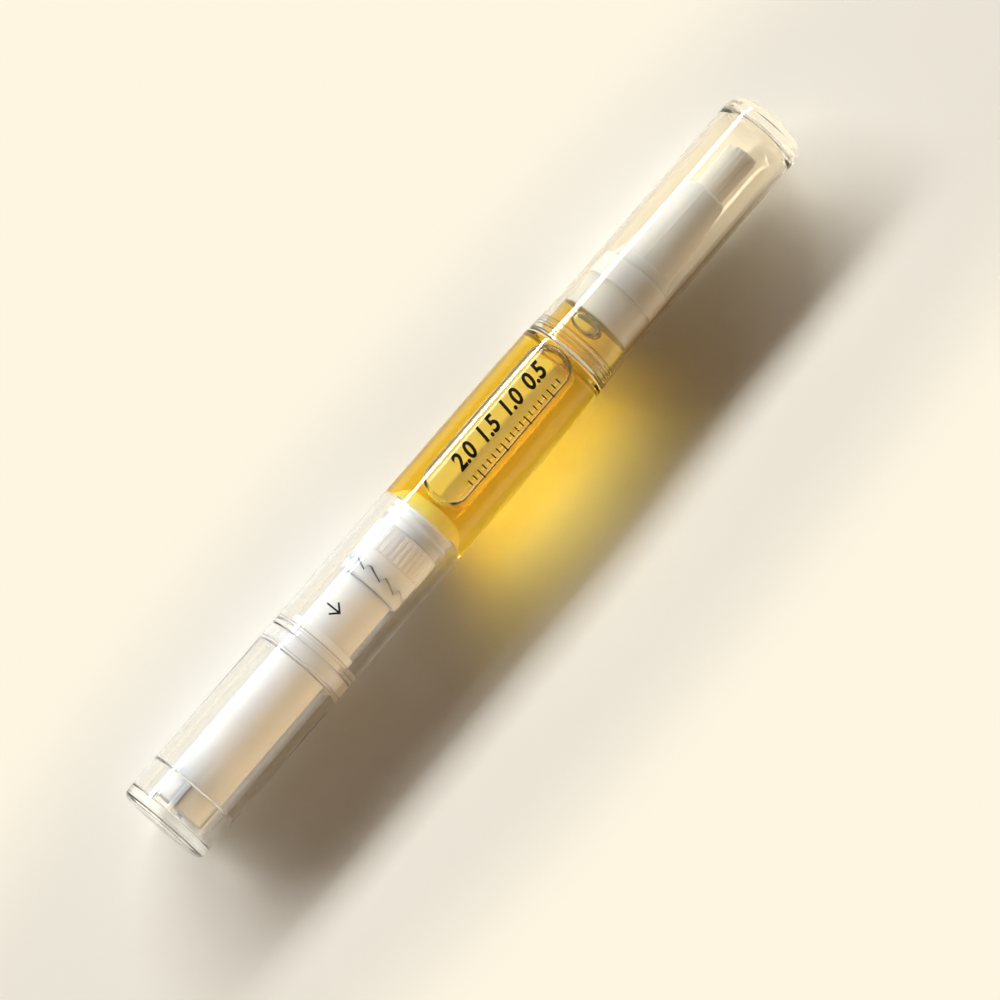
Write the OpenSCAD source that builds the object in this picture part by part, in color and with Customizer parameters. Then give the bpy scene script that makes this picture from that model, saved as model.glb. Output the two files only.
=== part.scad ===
// Twist-up nail oil pen.
// A clear knob turns a white sleeve, the sleeve turns a threaded rod through a fixed nut, and
// the rod pushes a piston that feeds the oil to a brush under a clear cap.
// Every module models its piece along +Z, with the knob's rear face at zero. lay() then turns
// it to lie along +X on the surface that the pen rests on, centred over the origin.

/* [Pen] */
// Outer diameter of the knob and the barrel
pen_d = 14.8; // [14.4:0.1:15.6]
// Axial gap at the seams from knob to barrel and from barrel to cap
seam_gap = 0.1; // [0.05:0.01:0.2]
// Radial clearance of pieces that turn or slide in one another
run_gap = 0.05; // [0.02:0.01:0.08]

/* [Knob] */
// Length of the clear knob
knob_l = 33.3; // [31:0.1:40]
// Wall of the knob around its bore
knob_wall = 1.45; // [1.2:0.05:1.6]
// Thickness of the closed rear end of the knob
knob_floor = 2; // [1.4:0.1:3]
// Rounding of the rear edge of the knob
knob_round = 1; // [0.4:0.1:1.3]
// Length of the narrower seat that grips the hub
seat_l = 5.4; // [4.4:0.1:7]
// How much narrower the seat is than the bore, on each side
seat_step = 0.35; // [0.1:0.05:0.6]
// Depth of the socket that takes the spigot of the barrel
socket_l = 2; // [1.5:0.1:3]

/* [Hub] */
// Diameter of the white hub pressed into the seat of the knob
hub_d = 8.8; // [8:0.1:9.4]
// Height of the keys that stand the hub off the end of the knob
hub_stand = 1.3; // [0.6:0.1:2]
// Number of keys around the hub
hub_keys = 4; // [3:1:6]
// Width of one key
key_w = 0.9; // [0.6:0.1:1.4]
// Length of the spigot that plugs the rear end of the sleeve
hub_spigot_l = 3; // [2:0.1:4]

/* [Sleeve] */
// Outer diameter of the white drive sleeve
sleeve_d = 9.1; // [8.6:0.1:9.4]
// Distance from the rear of the barrel to the flange of the sleeve
flange_set = 1.8; // [1.4:0.1:3]
// Thickness of the retaining flange
flange_t = 1.1; // [0.8:0.1:1.6]
// Length of the sleeve from the rear of its flange to its front end
drum_l = 10.7; // [8:0.1:12]
// Length of the hexagonal spigot that turns the click ring
hex_l = 1.1; // [0.8:0.1:1.3]

/* [Ratchet] */
// Number of saw teeth, one click each
teeth = 12; // [8:1:16]
// Height of the saw teeth along the pen
tooth_h = 1.1; // [0.6:0.1:1.4]
// Axial gap between the two rows of teeth
tooth_gap = 0.25; // [0.15:0.05:0.5]
// Length of the click ring behind its teeth
click_l = 1.4; // [1.3:0.1:2]
// Radial air between the click ring and the barrel
click_air = 0.2; // [0.1:0.05:0.4]

/* [Nut] */
// Length of the smooth collar of the nut
nut_collar_l = 2; // [1.5:0.1:3]
// Length of the ribs that lock the nut in the barrel
rib_l = 4.3; // [3:0.1:5]
// Number of ribs around the nut
ribs = 40; // [24:1:48]
// Height of one rib
rib_h = 0.35; // [0.2:0.05:0.5]

/* [Screw] */
// Crest diameter of the threaded rod
rod_d = 5; // [4.6:0.1:5.2]
// Advance of the rod in one turn of the knob
lead = 2; // [1.8:0.1:2.2]
// Depth of the rounded thread
thread_depth = 0.6; // [0.3:0.05:0.6]
// Width over the two flats that the sleeve drives
flat_w = 3.6; // [3:0.1:3.6]
// Turns of the knob from a full pen to an empty one
turns = 14.5; // [8:0.5:14.5]
// Diameter of the ball that carries the piston
ball_d = 4; // [3.4:0.1:4.2]

/* [Piston] */
// Length of the piston
piston_l = 6.2; // [5.8:0.1:8]
// Gap between the nut and the piston of a full pen
piston_set = 0.45; // [0.3:0.05:1]
// Diameter of the nose at the front of the piston
nose_d = 6.8; // [6:0.1:8]
// Length of the nose
nose_l = 2.6; // [2:0.1:3]
// Width of one sealing lip
lip_w = 0.8; // [0.5:0.1:1]

/* [Barrel] */
// Length of the full-width body of the barrel
barrel_l = 58; // [58:0.5:70]
// Wall of the barrel around its bore
barrel_wall = 1.9; // [1.75:0.05:2]
// Wall of the spigot that turns in the socket of the knob
spigot_wall = 0.9; // [0.7:0.05:1]
// Height of the inner bead that keeps the sleeve in
snap_h = 0.15; // [0.05:0.05:0.25]
// Length over which the barrel narrows towards its shoulder
draft_l = 12; // [6:0.5:20]
// How much narrower the shoulder is than the barrel, on each side
draft = 0.2; // [0.1:0.05:0.3]
// Outer diameter of the neck under the cap
neck_d = 11.7; // [11.6:0.05:11.8]
// Length of the neck
neck_l = 12.5; // [11:0.1:14]
// Wall of the neck
neck_wall = 1.25; // [1:0.05:1.4]

/* [Nozzle] */
// Length of the white plug pressed into the neck
plug_l = 5.6; // [4.6:0.1:6]
// Length of the flange that rests on the neck
rim_l = 4.1; // [3:0.1:5]
// Length of the sloping step between the flange and the cone
step_l = 1.9; // [1:0.1:3]
// Length of the cone
cone_l = 14.5; // [12:0.5:18]
// Diameter of the cone at its base
cone_base_d = 9.1; // [8.4:0.1:9.6]
// Diameter of the cone at its tip
cone_tip_d = 6.65; // [6.3:0.05:7]
// Outer diameter of the feed tube
feed_d = 1.8; // [1.4:0.1:2]
// Bore of the feed tube
feed_bore = 1; // [0.6:0.1:1.2]

/* [Brush] */
// Diameter of the brush
brush_d = 4.9; // [4:0.1:5]
// Length of the brush in front of the cone
brush_l = 8.6; // [7:0.1:10]
// Number of bristles
bristles = 360; // [300:10:400]
// Thickness of one bristle
bristle_d = 0.17; // [0.12:0.01:0.18]
// How much shorter the outermost bristles are than the middle ones
brush_dome = 0.5; // [0:0.1:1]
// Slant of the end of the brush over its whole width
brush_slant = 0.5; // [0:0.1:1]

/* [Cap] */
// Outer diameter of the cap
cap_d = 13.5; // [13.3:0.1:14]
// Length of the cap
cap_l = 48; // [45:0.5:54]
// Bore of the cap
cap_bore = 12; // [11.9:0.02:12.1]
// Outer diameter of the mouth of the cap
mouth_d = 14.2; // [13.9:0.1:14.4]
// Length over which the cap flares to its mouth
flare_l = 9.5; // [4:0.5:14]
// Thickness of the closed end of the cap
cap_end = 2.8; // [2:0.1:3.4]
// Rounding of the end of the cap
cap_round = 2.8; // [1.5:0.1:3.4]
// Number of snap beads on the neck
beads = 2; // [1:1:3]
// Distance from one snap bead to the next
bead_pitch = 0.95; // [0.8:0.05:1.2]

/* [Oil] */
// Film between the oil and what holds it
film = 0.03; // [0.02:0.01:0.05]
// Diameter of the long air bubble
bubble_d = 6; // [4:0.1:6.2]
// Length of the long air bubble
bubble_l = 28.2; // [16:0.2:28.2]
// Diameter of the small bubble in the neck
bead_air_d = 3.2; // [2:0.1:3.6]

/* [Hidden] */
$fn = 96;

// Colours
clear_plastic = [0.93, 0.95, 0.94, 0.35];
white_plastic = [0.91, 0.92, 0.91];
natural_plastic = [0.9, 0.88, 0.8, 0.8];
oil_gold = [0.87, 0.64, 0.1, 0.75];
nylon = [0.95, 0.95, 0.93];

// Overrun of every cut past the surface that it opens
over = run_gap * 4;
// Small edge break on clear mouldings
edge = 0.3;
// Turn of the air bubbles away from straight up, towards +Y
bubble_turn = 15;

// Radii
pen_r = pen_d / 2;
knob_bore_r = pen_r - knob_wall;
seat_r = knob_bore_r - seat_step;
bore_r = pen_r - barrel_wall;
spigot_r = bore_r + spigot_wall;
socket_r = spigot_r + run_gap;
sleeve_r = sleeve_d / 2;
hub_r = hub_d / 2;
hub_spigot_r = (rod_d + hub_d) / 4;
flange_r = bore_r - run_gap;
click_r = bore_r - click_air;
crown_out_r = click_r - run_gap;
crown_r = click_r - 1.3 * tooth_h;
hex_r = crown_r - over;
rod_r = rod_d / 2;
root_r = rod_r - thread_depth;
ball_r = ball_d / 2;
nose_r = nose_d / 2;
neck_r = neck_d / 2;
neck_bore_r = neck_r - neck_wall;
rim_r = neck_r;
cap_bore_r = cap_bore / 2;
bead_r = cap_bore_r - run_gap;
bead_w = bead_pitch * 0.4;
feed_r = feed_d / 2;
root_spigot_r = neck_bore_r * 0.7;
brush_r = brush_d / 2;
bubble_r = bubble_d / 2;
bead_air_r = bead_air_d / 2;

// Stations along the pen, from the rear face of the knob
hub_rear = knob_floor + hub_stand;
sleeve_rear = knob_floor + seat_l;
barrel_rear = knob_l + seam_gap;
spigot_rear = barrel_rear - socket_l;
flange_rear = barrel_rear + flange_set;
sleeve_front = flange_rear + drum_l;
crown_root = sleeve_front + click_l;
crown_tip = crown_root + tooth_h;
nut_face = crown_tip + tooth_gap;
rib_rear = nut_face + nut_collar_l;
nut_front = rib_rear + rib_l;
piston_rear = nut_front + piston_set;
piston_front = piston_rear + piston_l;
nose_rear = piston_front - nose_l;
travel = lead * turns;
rod_front = nut_front + piston_set * 0.3;
rod_tail = sleeve_front - travel - hex_l - thread_depth;
ball_at = piston_rear + ball_r + thread_depth;
shoulder = barrel_rear + barrel_l;
taper_rear = nose_rear + travel + edge;
taper_front = max(shoulder + draft * 5, taper_rear + bore_r - neck_bore_r);
neck_front = shoulder + neck_l;
plug_rear = neck_front - plug_l;
rim_front = neck_front + rim_l;
cone_rear = rim_front + step_l;
cone_front = cone_rear + cone_l;
root_rear = plug_rear + plug_l * 0.3;
slice_l = brush_d * 0.3;
slice_rear = cone_front - slice_l;
ferrule_l = brush_d * 0.75;
ferrule_rear = slice_rear - ferrule_l;
cap_mouth = shoulder + seam_gap;
cap_front = cap_mouth + cap_l;
cap_floor = cap_front - cap_end;
bead_at = cap_mouth + bead_pitch * 1.5;
pen_l = cap_front;

// Places of the air, which follow the piston of a full pen and the neck
bubble_rise = bore_r - bubble_r - 4 * film;
bubble_rear = piston_front + nose_l * 0.45;
bead_air_rise = neck_bore_r - bead_air_r - 4 * film;
bead_air_at = plug_rear - bead_air_r * 0.85;

// Lies a piece that was modelled along +Z down along +X, resting on the floor
module lay() {
  translate([-pen_l / 2, 0, pen_r]) rotate([0, 90, 0]) children();
}

// A turned solid from its outline, as points of radius and station
module turned(outline) {
  rotate_extrude() polygon(outline);
}

// A round bar between two stations
module bar(r, rear, front) {
  translate([0, 0, rear]) cylinder(h = front - rear, r = r);
}

// A ring between two radii and two stations
module ring(r_in, r_out, rear, front) {
  difference() {
    bar(r_out, rear, front);
    bar(r_in, rear - over, front + over);
  }
}

// Points of a quarter round that ends an outline: centre, radius, start angle and sweep
function quarter(r_c, at_c, r, start, sweep, steps = 6) = [
  for (i = [0:steps]) let (a = start + sweep * i / steps) [r_c + r * cos(a), at_c + r * sin(a)]
];

// Repeats a piece evenly around the axis
module around(count) {
  for (i = [0:count - 1]) rotate([0, 0, i * 360 / count]) children();
}

// Columns of one row of saw teeth, as angle and height: each tooth slopes down and climbs back
ramp_steps = 3;
steep_share = 0.06;
saw_columns = [
  for (i = [0:teeth - 1]) for (j = [0:ramp_steps])
    [(i + (1 - steep_share) * j / ramp_steps) * 360 / teeth, tooth_h * (1 - j / ramp_steps)]
];

// A ring bounded by the stations low and high, one pair for each column of the saw teeth
module crown(low, high) {
  n = len(saw_columns);
  points = [
    for (k = [0:n - 1])
      let (a = saw_columns[k][0], x = cos(a), y = sin(a))
        each [
          [crown_r * x, crown_r * y, low[k]],
          [crown_out_r * x, crown_out_r * y, low[k]],
          [crown_out_r * x, crown_out_r * y, high[k]],
          [crown_r * x, crown_r * y, high[k]]
        ]
  ];
  faces = [
    for (k = [0:n - 1])
      for (s = [0:3])
        let (a = 4 * k, b = 4 * ((k + 1) % n), t = (s + 1) % 4)
          each [[a + s, a + t, b + s], [b + s, a + t, b + t]]
  ];
  polyhedron(points, faces);
}

// Section that the sleeve and the rod share: a circle with two flats
module driven_section(r, w) {
  intersection() {
    circle(r = r);
    square([2 * r, w], center = true);
  }
}

// Clear moulded barrel with its spigot, inner bead, oil chamber, neck and snap beads
module barrel() {
  color(clear_plastic) lay() difference() {
    union() {
      turned([
        [0, spigot_rear], [spigot_r, spigot_rear], [spigot_r, barrel_rear],
        [pen_r - edge, barrel_rear], [pen_r, barrel_rear + edge],
        [pen_r, shoulder - draft_l], [pen_r - draft, shoulder - edge],
        [pen_r - draft - edge, shoulder], [neck_r, shoulder],
        [neck_r, neck_front - edge], [neck_r - edge, neck_front], [0, neck_front]
      ]);
      for (i = [0:beads - 1]) ring(neck_r - over, bead_r, bead_at + i * bead_pitch, bead_at + i * bead_pitch + bead_w);
    }
    turned([
      [0, spigot_rear - over], [bore_r, spigot_rear - over],
      [bore_r, flange_rear - 2 * edge - seam_gap], [bore_r - snap_h, flange_rear - edge - seam_gap],
      [bore_r - snap_h, flange_rear - seam_gap], [bore_r, flange_rear - seam_gap],
      [bore_r, taper_rear], [neck_bore_r, taper_front],
      [neck_bore_r, neck_front + over], [0, neck_front + over]
    ]);
  }
}

// White nut fixed in the barrel, with saw teeth at its rear and locking ribs in front
module thread_nut() {
  rib_pitch = 360 / ribs;
  rib_share = 0.3;
  land_share = 0.16;
  low_r = bore_r - rib_h;
  rib_outline = [
    for (i = [0:ribs - 1]) for (p = [[-rib_share, low_r], [-land_share, bore_r], [land_share, bore_r], [rib_share, low_r]])
      let (a = (i + p[0]) * rib_pitch) [p[1] * cos(a), p[1] * sin(a)]
  ];
  color(white_plastic) lay() difference() {
    union() {
      crown([for (c = saw_columns) crown_root + tooth_gap + c[1]], [for (c = saw_columns) nut_face + 2 * over]);
      bar(click_r, nut_face + over, rib_rear);
      translate([0, 0, rib_rear]) linear_extrude(rib_l) polygon(rib_outline);
    }
    bar(rod_r + run_gap, nut_face - over, nut_front + over);
  }
}

// White plug that closes the neck, with the flange that the cap slides over
module nozzle_collar() {
  color(white_plastic) lay() difference() {
    turned([
      [0, plug_rear], [neck_bore_r - edge, plug_rear], [neck_bore_r, plug_rear + edge],
      [neck_bore_r, neck_front], [rim_r, neck_front],
      each quarter(rim_r - 2 * edge, rim_front - 2 * edge, 2 * edge, 0, 90),
      [0, rim_front]
    ]);
    bar(feed_r, plug_rear - over, root_rear + over);
    bar(root_spigot_r, root_rear, rim_front + over);
  }
}

// White cone that carries the brush, with its mould seam and the root that plugs the collar
module nozzle_cone() {
  slope = (cone_base_d - cone_tip_d) / 2 / cone_l;
  tip_round = edge * 1.5;
  seam = edge / 3;
  color(white_plastic) lay() difference() {
    union() {
      turned([
        [0, root_rear], [root_spigot_r, root_rear], [root_spigot_r, rim_front],
        [cone_base_d / 2 + 2 * edge, rim_front], [cone_base_d / 2 + edge, cone_rear - edge],
        [cone_base_d / 2, cone_rear], [cone_tip_d / 2 + slope * tip_round, cone_front - tip_round],
        each quarter(cone_tip_d / 2 - tip_round, cone_front - tip_round, tip_round, 0, 90),
        [0, cone_front]
      ]);
      for (side = [0, 180]) rotate([0, 0, side]) rotate([90, 0, 0]) linear_extrude(seam, center = true) polygon([
        [brush_r + seam, cone_rear], [cone_base_d / 2 + seam, cone_rear],
        [cone_tip_d / 2 + seam, cone_front - tip_round], [brush_r + seam, cone_front - tip_round]
      ]);
    }
    bar(feed_r, root_rear - over, ferrule_rear + over);
    bar(brush_r, ferrule_rear, cone_front + over);
  }
}

// Thin tube that leads the oil from the neck to the root of the brush
module feed_tube() {
  color(natural_plastic) lay() ring(feed_bore / 2, feed_r, plug_rear, slice_rear);
}

// White bush behind the brush that keeps its root in the cone
module brush_ferrule() {
  color(white_plastic) lay() ring(feed_r, brush_r, ferrule_rear, slice_rear);
}

// Nylon brush: bristles spread by the golden angle, fused to a slice of their root
module brush() {
  golden_angle = 137.508;
  strand_r = bristle_d / 2;
  spread_r = brush_r - 1.5 * bristle_d;
  color(nylon) lay() {
    bar(brush_r - film, slice_rear, cone_front - film);
    for (i = [0:bristles - 1])
      let (
        share = sqrt((i + 0.5) / bristles),
        a = i * golden_angle,
        front = cone_front + brush_l - brush_dome * share * share - brush_slant * share * sin(a) / 2
      )
        translate([spread_r * share * cos(a), spread_r * share * sin(a), slice_rear + slice_l / 2])
          rotate([0, 0, a]) cylinder(h = front - slice_rear - slice_l / 2, r = strand_r, $fn = 3);
  }
}

// Oil in the chamber and the neck, with its long air bubble and the small one in the neck
module oil_fill() {
  color(oil_gold) lay() difference() {
    turned([
      [0, piston_front + film], [nose_r, piston_front + film],
      [bore_r - 4 * lip_w * 0.3, nose_rear + film], [bore_r - film, nose_rear + film],
      [bore_r - film, taper_rear], [neck_bore_r - film, taper_front],
      [neck_bore_r - film, plug_rear - film], [0, plug_rear - film]
    ]);
    rotate([0, 0, 180 - bubble_turn]) translate([bubble_rise, 0, 0]) {
      translate([0, 0, bubble_rear + bubble_r]) sphere(r = bubble_r);
      bar(bubble_r, bubble_rear + bubble_r, bubble_rear + bubble_l - bubble_r);
      translate([0, 0, bubble_rear + bubble_l - bubble_r]) sphere(r = bubble_r);
    }
    rotate([0, 0, 180 - bubble_turn]) translate([bead_air_rise, 0, bead_air_at]) sphere(r = bead_air_r);
  }
}

// Clear knob: a thick closed end, a seat for the hub, a wide bore and the socket in front
module knob_shell() {
  color(clear_plastic) lay() difference() {
    turned([
      [0, 0], each quarter(pen_r - knob_round, knob_round, knob_round, -90, 90),
      [pen_r, knob_l - edge], [pen_r - edge, knob_l], [0, knob_l]
    ]);
    turned([
      [0, knob_floor], [seat_r, knob_floor], [seat_r, sleeve_rear - edge], [knob_bore_r, sleeve_rear],
      [knob_bore_r, spigot_rear - 3 * edge], [knob_bore_r - edge, spigot_rear - 2 * edge],
      [knob_bore_r - edge, spigot_rear - edge], [socket_r, spigot_rear - edge / 2],
      [socket_r, knob_l + over], [0, knob_l + over]
    ]);
  }
}

// White hub pressed into the seat of the knob, which turns the sleeve
module knob_hub() {
  color(white_plastic) lay() {
    bar(hub_r, hub_rear, sleeve_rear);
    bar(hub_spigot_r, sleeve_rear, sleeve_rear + hub_spigot_l);
    intersection() {
      bar(seat_r, knob_floor, sleeve_rear - edge);
      around(hub_keys) translate([hub_r - key_w, -key_w / 2, knob_floor]) cube([seat_r - hub_r + 2 * key_w, key_w, seat_l - edge]);
    }
  }
}

// White drive sleeve: it turns with the knob and drives the flats of the rod
module drive_sleeve() {
  color(white_plastic) lay() difference() {
    union() {
      bar(sleeve_r, sleeve_rear, sleeve_front);
      ring(sleeve_r - over, flange_r, flange_rear, flange_rear + flange_t);
      translate([0, 0, sleeve_front]) cylinder(h = hex_l, r = hex_r, $fn = 6);
    }
    bar(hub_spigot_r, sleeve_rear - over, sleeve_rear + hub_spigot_l);
    translate([0, 0, sleeve_rear]) linear_extrude(sleeve_front + hex_l + over - sleeve_rear)
      driven_section(rod_r + run_gap, flat_w + 2 * run_gap);
  }
}

// White click ring on the hexagon of the sleeve: its saw teeth snap over those of the nut
module click_ring() {
  color(white_plastic) lay() difference() {
    union() {
      bar(click_r, sleeve_front, crown_root - over);
      crown([for (c = saw_columns) crown_root - 2 * over], [for (c = saw_columns) crown_root + c[1]]);
    }
    translate([0, 0, sleeve_front - over]) cylinder(h = click_l + 2 * over, r = hex_r + run_gap, $fn = 6);
  }
}

// White rod with a rounded right-hand thread, two driving flats and the ball for the piston
module screw_rod() {
  slices_per_turn = 8;
  sides = 14;
  thread_l = rod_front - rod_tail;
  neck = ball_r * 0.65;
  color(white_plastic) lay() {
    intersection() {
      translate([0, 0, rod_tail])
        linear_extrude(
          thread_l, twist = -360 * thread_l / lead, slices = ceil(slices_per_turn * thread_l / lead), $fn = sides
        )
          translate([thread_depth / 2, 0]) circle(r = rod_r - thread_depth / 2, $fn = sides);
      translate([0, 0, rod_tail - over]) linear_extrude(thread_l + 2 * over)
        square([2 * rod_d, flat_w], center = true);
    }
    bar(neck, rod_front - over, ball_at);
    translate([0, 0, ball_at]) sphere(r = ball_r);
  }
}

// Natural plastic piston: two sealing lips, a nose, and a socket that snaps over the ball
module piston() {
  groove = 2 * edge;
  lip_r = bore_r - run_gap;
  color(natural_plastic) lay() difference() {
    turned([
      [0, piston_rear], [lip_r - groove, piston_rear], [lip_r - groove, nose_rear - 3 * lip_w],
      [lip_r, nose_rear - 2.5 * lip_w], [lip_r, nose_rear - 2 * lip_w], [lip_r - groove, nose_rear - 1.5 * lip_w],
      [lip_r - groove, nose_rear - lip_w], [lip_r, nose_rear - lip_w / 2], [lip_r, nose_rear],
      [bore_r - 4 * lip_w * 0.3 - film, nose_rear],
      [nose_r, piston_front - 2 * edge], [nose_r - 2 * edge, piston_front], [0, piston_front]
    ]);
    bar(ball_r * 0.75, piston_rear - over, ball_at);
    translate([0, 0, ball_at]) sphere(r = ball_r + run_gap);
    ring(ball_r + run_gap + 2 * edge, lip_r - groove - 2 * edge, piston_rear - over, ball_at);
  }
}

// Clear cap: a flared mouth, snap grooves over the beads of the neck and a thick rounded end
module cap() {
  groove_r = cap_bore_r + run_gap * 3;
  color(clear_plastic) lay() difference() {
    turned([
      [0, cap_mouth], [mouth_d / 2 - edge, cap_mouth], [mouth_d / 2, cap_mouth + edge],
      [cap_d / 2, cap_mouth + flare_l],
      each quarter(cap_d / 2 - cap_round, cap_front - cap_round, cap_round, 0, 90),
      [0, cap_front]
    ]);
    turned([
      [0, cap_mouth - over], [cap_bore_r + 2 * edge, cap_mouth - over], [cap_bore_r + 2 * edge, cap_mouth],
      [cap_bore_r, cap_mouth + 2 * edge], [cap_bore_r, cap_floor - 2 * edge],
      [cap_bore_r - 2 * edge, cap_floor], [0, cap_floor]
    ]);
    for (i = [0:beads - 1]) bar(groove_r, bead_at + i * bead_pitch - run_gap, bead_at + i * bead_pitch + bead_w + run_gap);
  }
}

barrel();
thread_nut();
nozzle_collar();
nozzle_cone();
feed_tube();
brush_ferrule();
brush();
oil_fill();
knob_shell();
knob_hub();
drive_sleeve();
click_ring();
screw_rod();
piston();
cap();
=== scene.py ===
"""Looks of a twist-up nail oil pen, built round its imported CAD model.

The pen lies along +X on the floor, with the rear face of its knob at the lowest X. Sizes are millimetres,
and a station is the distance along the pen from that rear face. Every mesh is written in metres, in the CAD
model's frame.
"""

import logging
import math
import random
from collections.abc import Callable, Sequence
from dataclasses import dataclass
from enum import Enum
from typing import Any, ClassVar

import bmesh
import bpy
from mathutils import Matrix, Vector


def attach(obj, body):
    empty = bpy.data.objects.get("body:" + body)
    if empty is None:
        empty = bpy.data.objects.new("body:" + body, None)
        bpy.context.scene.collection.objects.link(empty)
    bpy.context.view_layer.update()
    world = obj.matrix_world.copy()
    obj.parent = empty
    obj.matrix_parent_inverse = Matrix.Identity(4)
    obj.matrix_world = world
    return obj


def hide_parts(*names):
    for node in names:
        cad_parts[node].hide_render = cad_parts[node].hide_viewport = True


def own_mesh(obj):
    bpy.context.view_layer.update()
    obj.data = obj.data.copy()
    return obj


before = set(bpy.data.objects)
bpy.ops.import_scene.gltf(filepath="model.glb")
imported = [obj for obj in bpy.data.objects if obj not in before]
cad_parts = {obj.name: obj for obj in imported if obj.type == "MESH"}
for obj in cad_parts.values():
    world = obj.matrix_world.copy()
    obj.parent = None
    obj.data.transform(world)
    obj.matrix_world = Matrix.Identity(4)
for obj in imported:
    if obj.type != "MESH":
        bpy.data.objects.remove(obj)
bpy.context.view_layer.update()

LOG = logging.getLogger("oil_pen")

MM = 0.001
PEN_LENGTH = 139.5
AXIS_HEIGHT = 7.4

# How finely meshes are made: faces round the pen and on a rounded corner
ROUND_STEPS = 144
ROUNDING_SEGMENTS = 4
# A line of an outline longer than LONG_EDGE gets a point HOLD_GAP from each end, which holds its shading
HOLD_GAP = 0.12
LONG_EDGE = 1.0
SHARP_ANGLE = math.radians(33)
# Points nearer than this, in metres, are one
SAME_PLACE = 1e-7

# Turns a shape that was made along Z to lie along X
ALONG_X = Matrix.Rotation(math.pi / 2, 3, "Y")

Colour = tuple[float, float, float, float]
Outline = Sequence[tuple[float, ...]]
Mesh = bmesh.types.BMesh
Shape = Callable[[float, float, float], tuple[float, float]]


class Slot(Enum):
    """Material slots of the record."""

    CLEAR = "clear_plastic"
    WHITE = "white_plastic"
    NATURAL = "natural_plastic"
    NYLON = "nylon"
    OIL = "oil"


class Body(Enum):
    """Moving bodies of the CAD model."""

    BARREL = "barrel"
    KNOB = "knob"
    ROD = "rod"
    PISTON = "piston"
    CAP = "cap"


def rgb(red: float, green: float, blue: float) -> Colour:
    """Returns a linear colour with full alpha."""
    return (red, green, blue, 1.0)


def place(station: float, turn: float = 0.0, radius: float = 0.0) -> Vector:
    """Places a point given round the axis of the pen.

    Args:
        station: Distance from the rear face of the knob.
        turn: Angle from straight down towards +Y, in radians.
        radius: Distance from the axis.

    Returns:
        The point in metres.
    """
    y = radius * math.sin(turn)
    z = AXIS_HEIGHT - radius * math.cos(turn)
    return Vector((station - PEN_LENGTH / 2, y, z)) * MM


def polar(point: Vector) -> tuple[float, float, float]:
    """Reads a point back.

    Args:
        point: The point in metres.

    Returns:
        Its station, turn and radius.
    """
    y = point.y / MM
    z = point.z / MM - AXIS_HEIGHT
    return point.x / MM + PEN_LENGTH / 2, math.atan2(y, -z), math.hypot(y, z)


class Wire:
    """An output of a node, on which arithmetic adds Math nodes."""

    def __init__(self, graph: "Graph", socket: bpy.types.NodeSocket) -> None:
        """Keeps the graph and the socket."""
        self.graph = graph
        self.socket = socket

    def _math(self, operation: str, first: Any, second: Any) -> "Wire":
        """Returns the result of one Math node."""
        return self.graph.add("ShaderNodeMath", {"operation": operation}, {0: first, 1: second})

    def __add__(self, other: Any) -> "Wire":
        """Returns self + other."""
        return self._math("ADD", self, other)

    def __radd__(self, other: Any) -> "Wire":
        """Returns other + self."""
        return self._math("ADD", other, self)

    def __rsub__(self, other: Any) -> "Wire":
        """Returns other - self."""
        return self._math("SUBTRACT", other, self)

    def __mul__(self, other: Any) -> "Wire":
        """Returns self * other."""
        return self._math("MULTIPLY", self, other)

    def __rmul__(self, other: Any) -> "Wire":
        """Returns other * self."""
        return self._math("MULTIPLY", other, self)

    def largest(self, other: Any) -> "Wire":
        """Returns the larger of the two."""
        return self._math("MAXIMUM", self, other)

    def eased(self, low: float, high: float) -> "Wire":
        """Returns a smooth step from 0 at low to 1 at high."""
        sockets = {"Value": self, "From Min": low, "From Max": high}
        return self.graph.add("ShaderNodeMapRange", {"interpolation_type": "SMOOTHSTEP"}, sockets)


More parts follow.
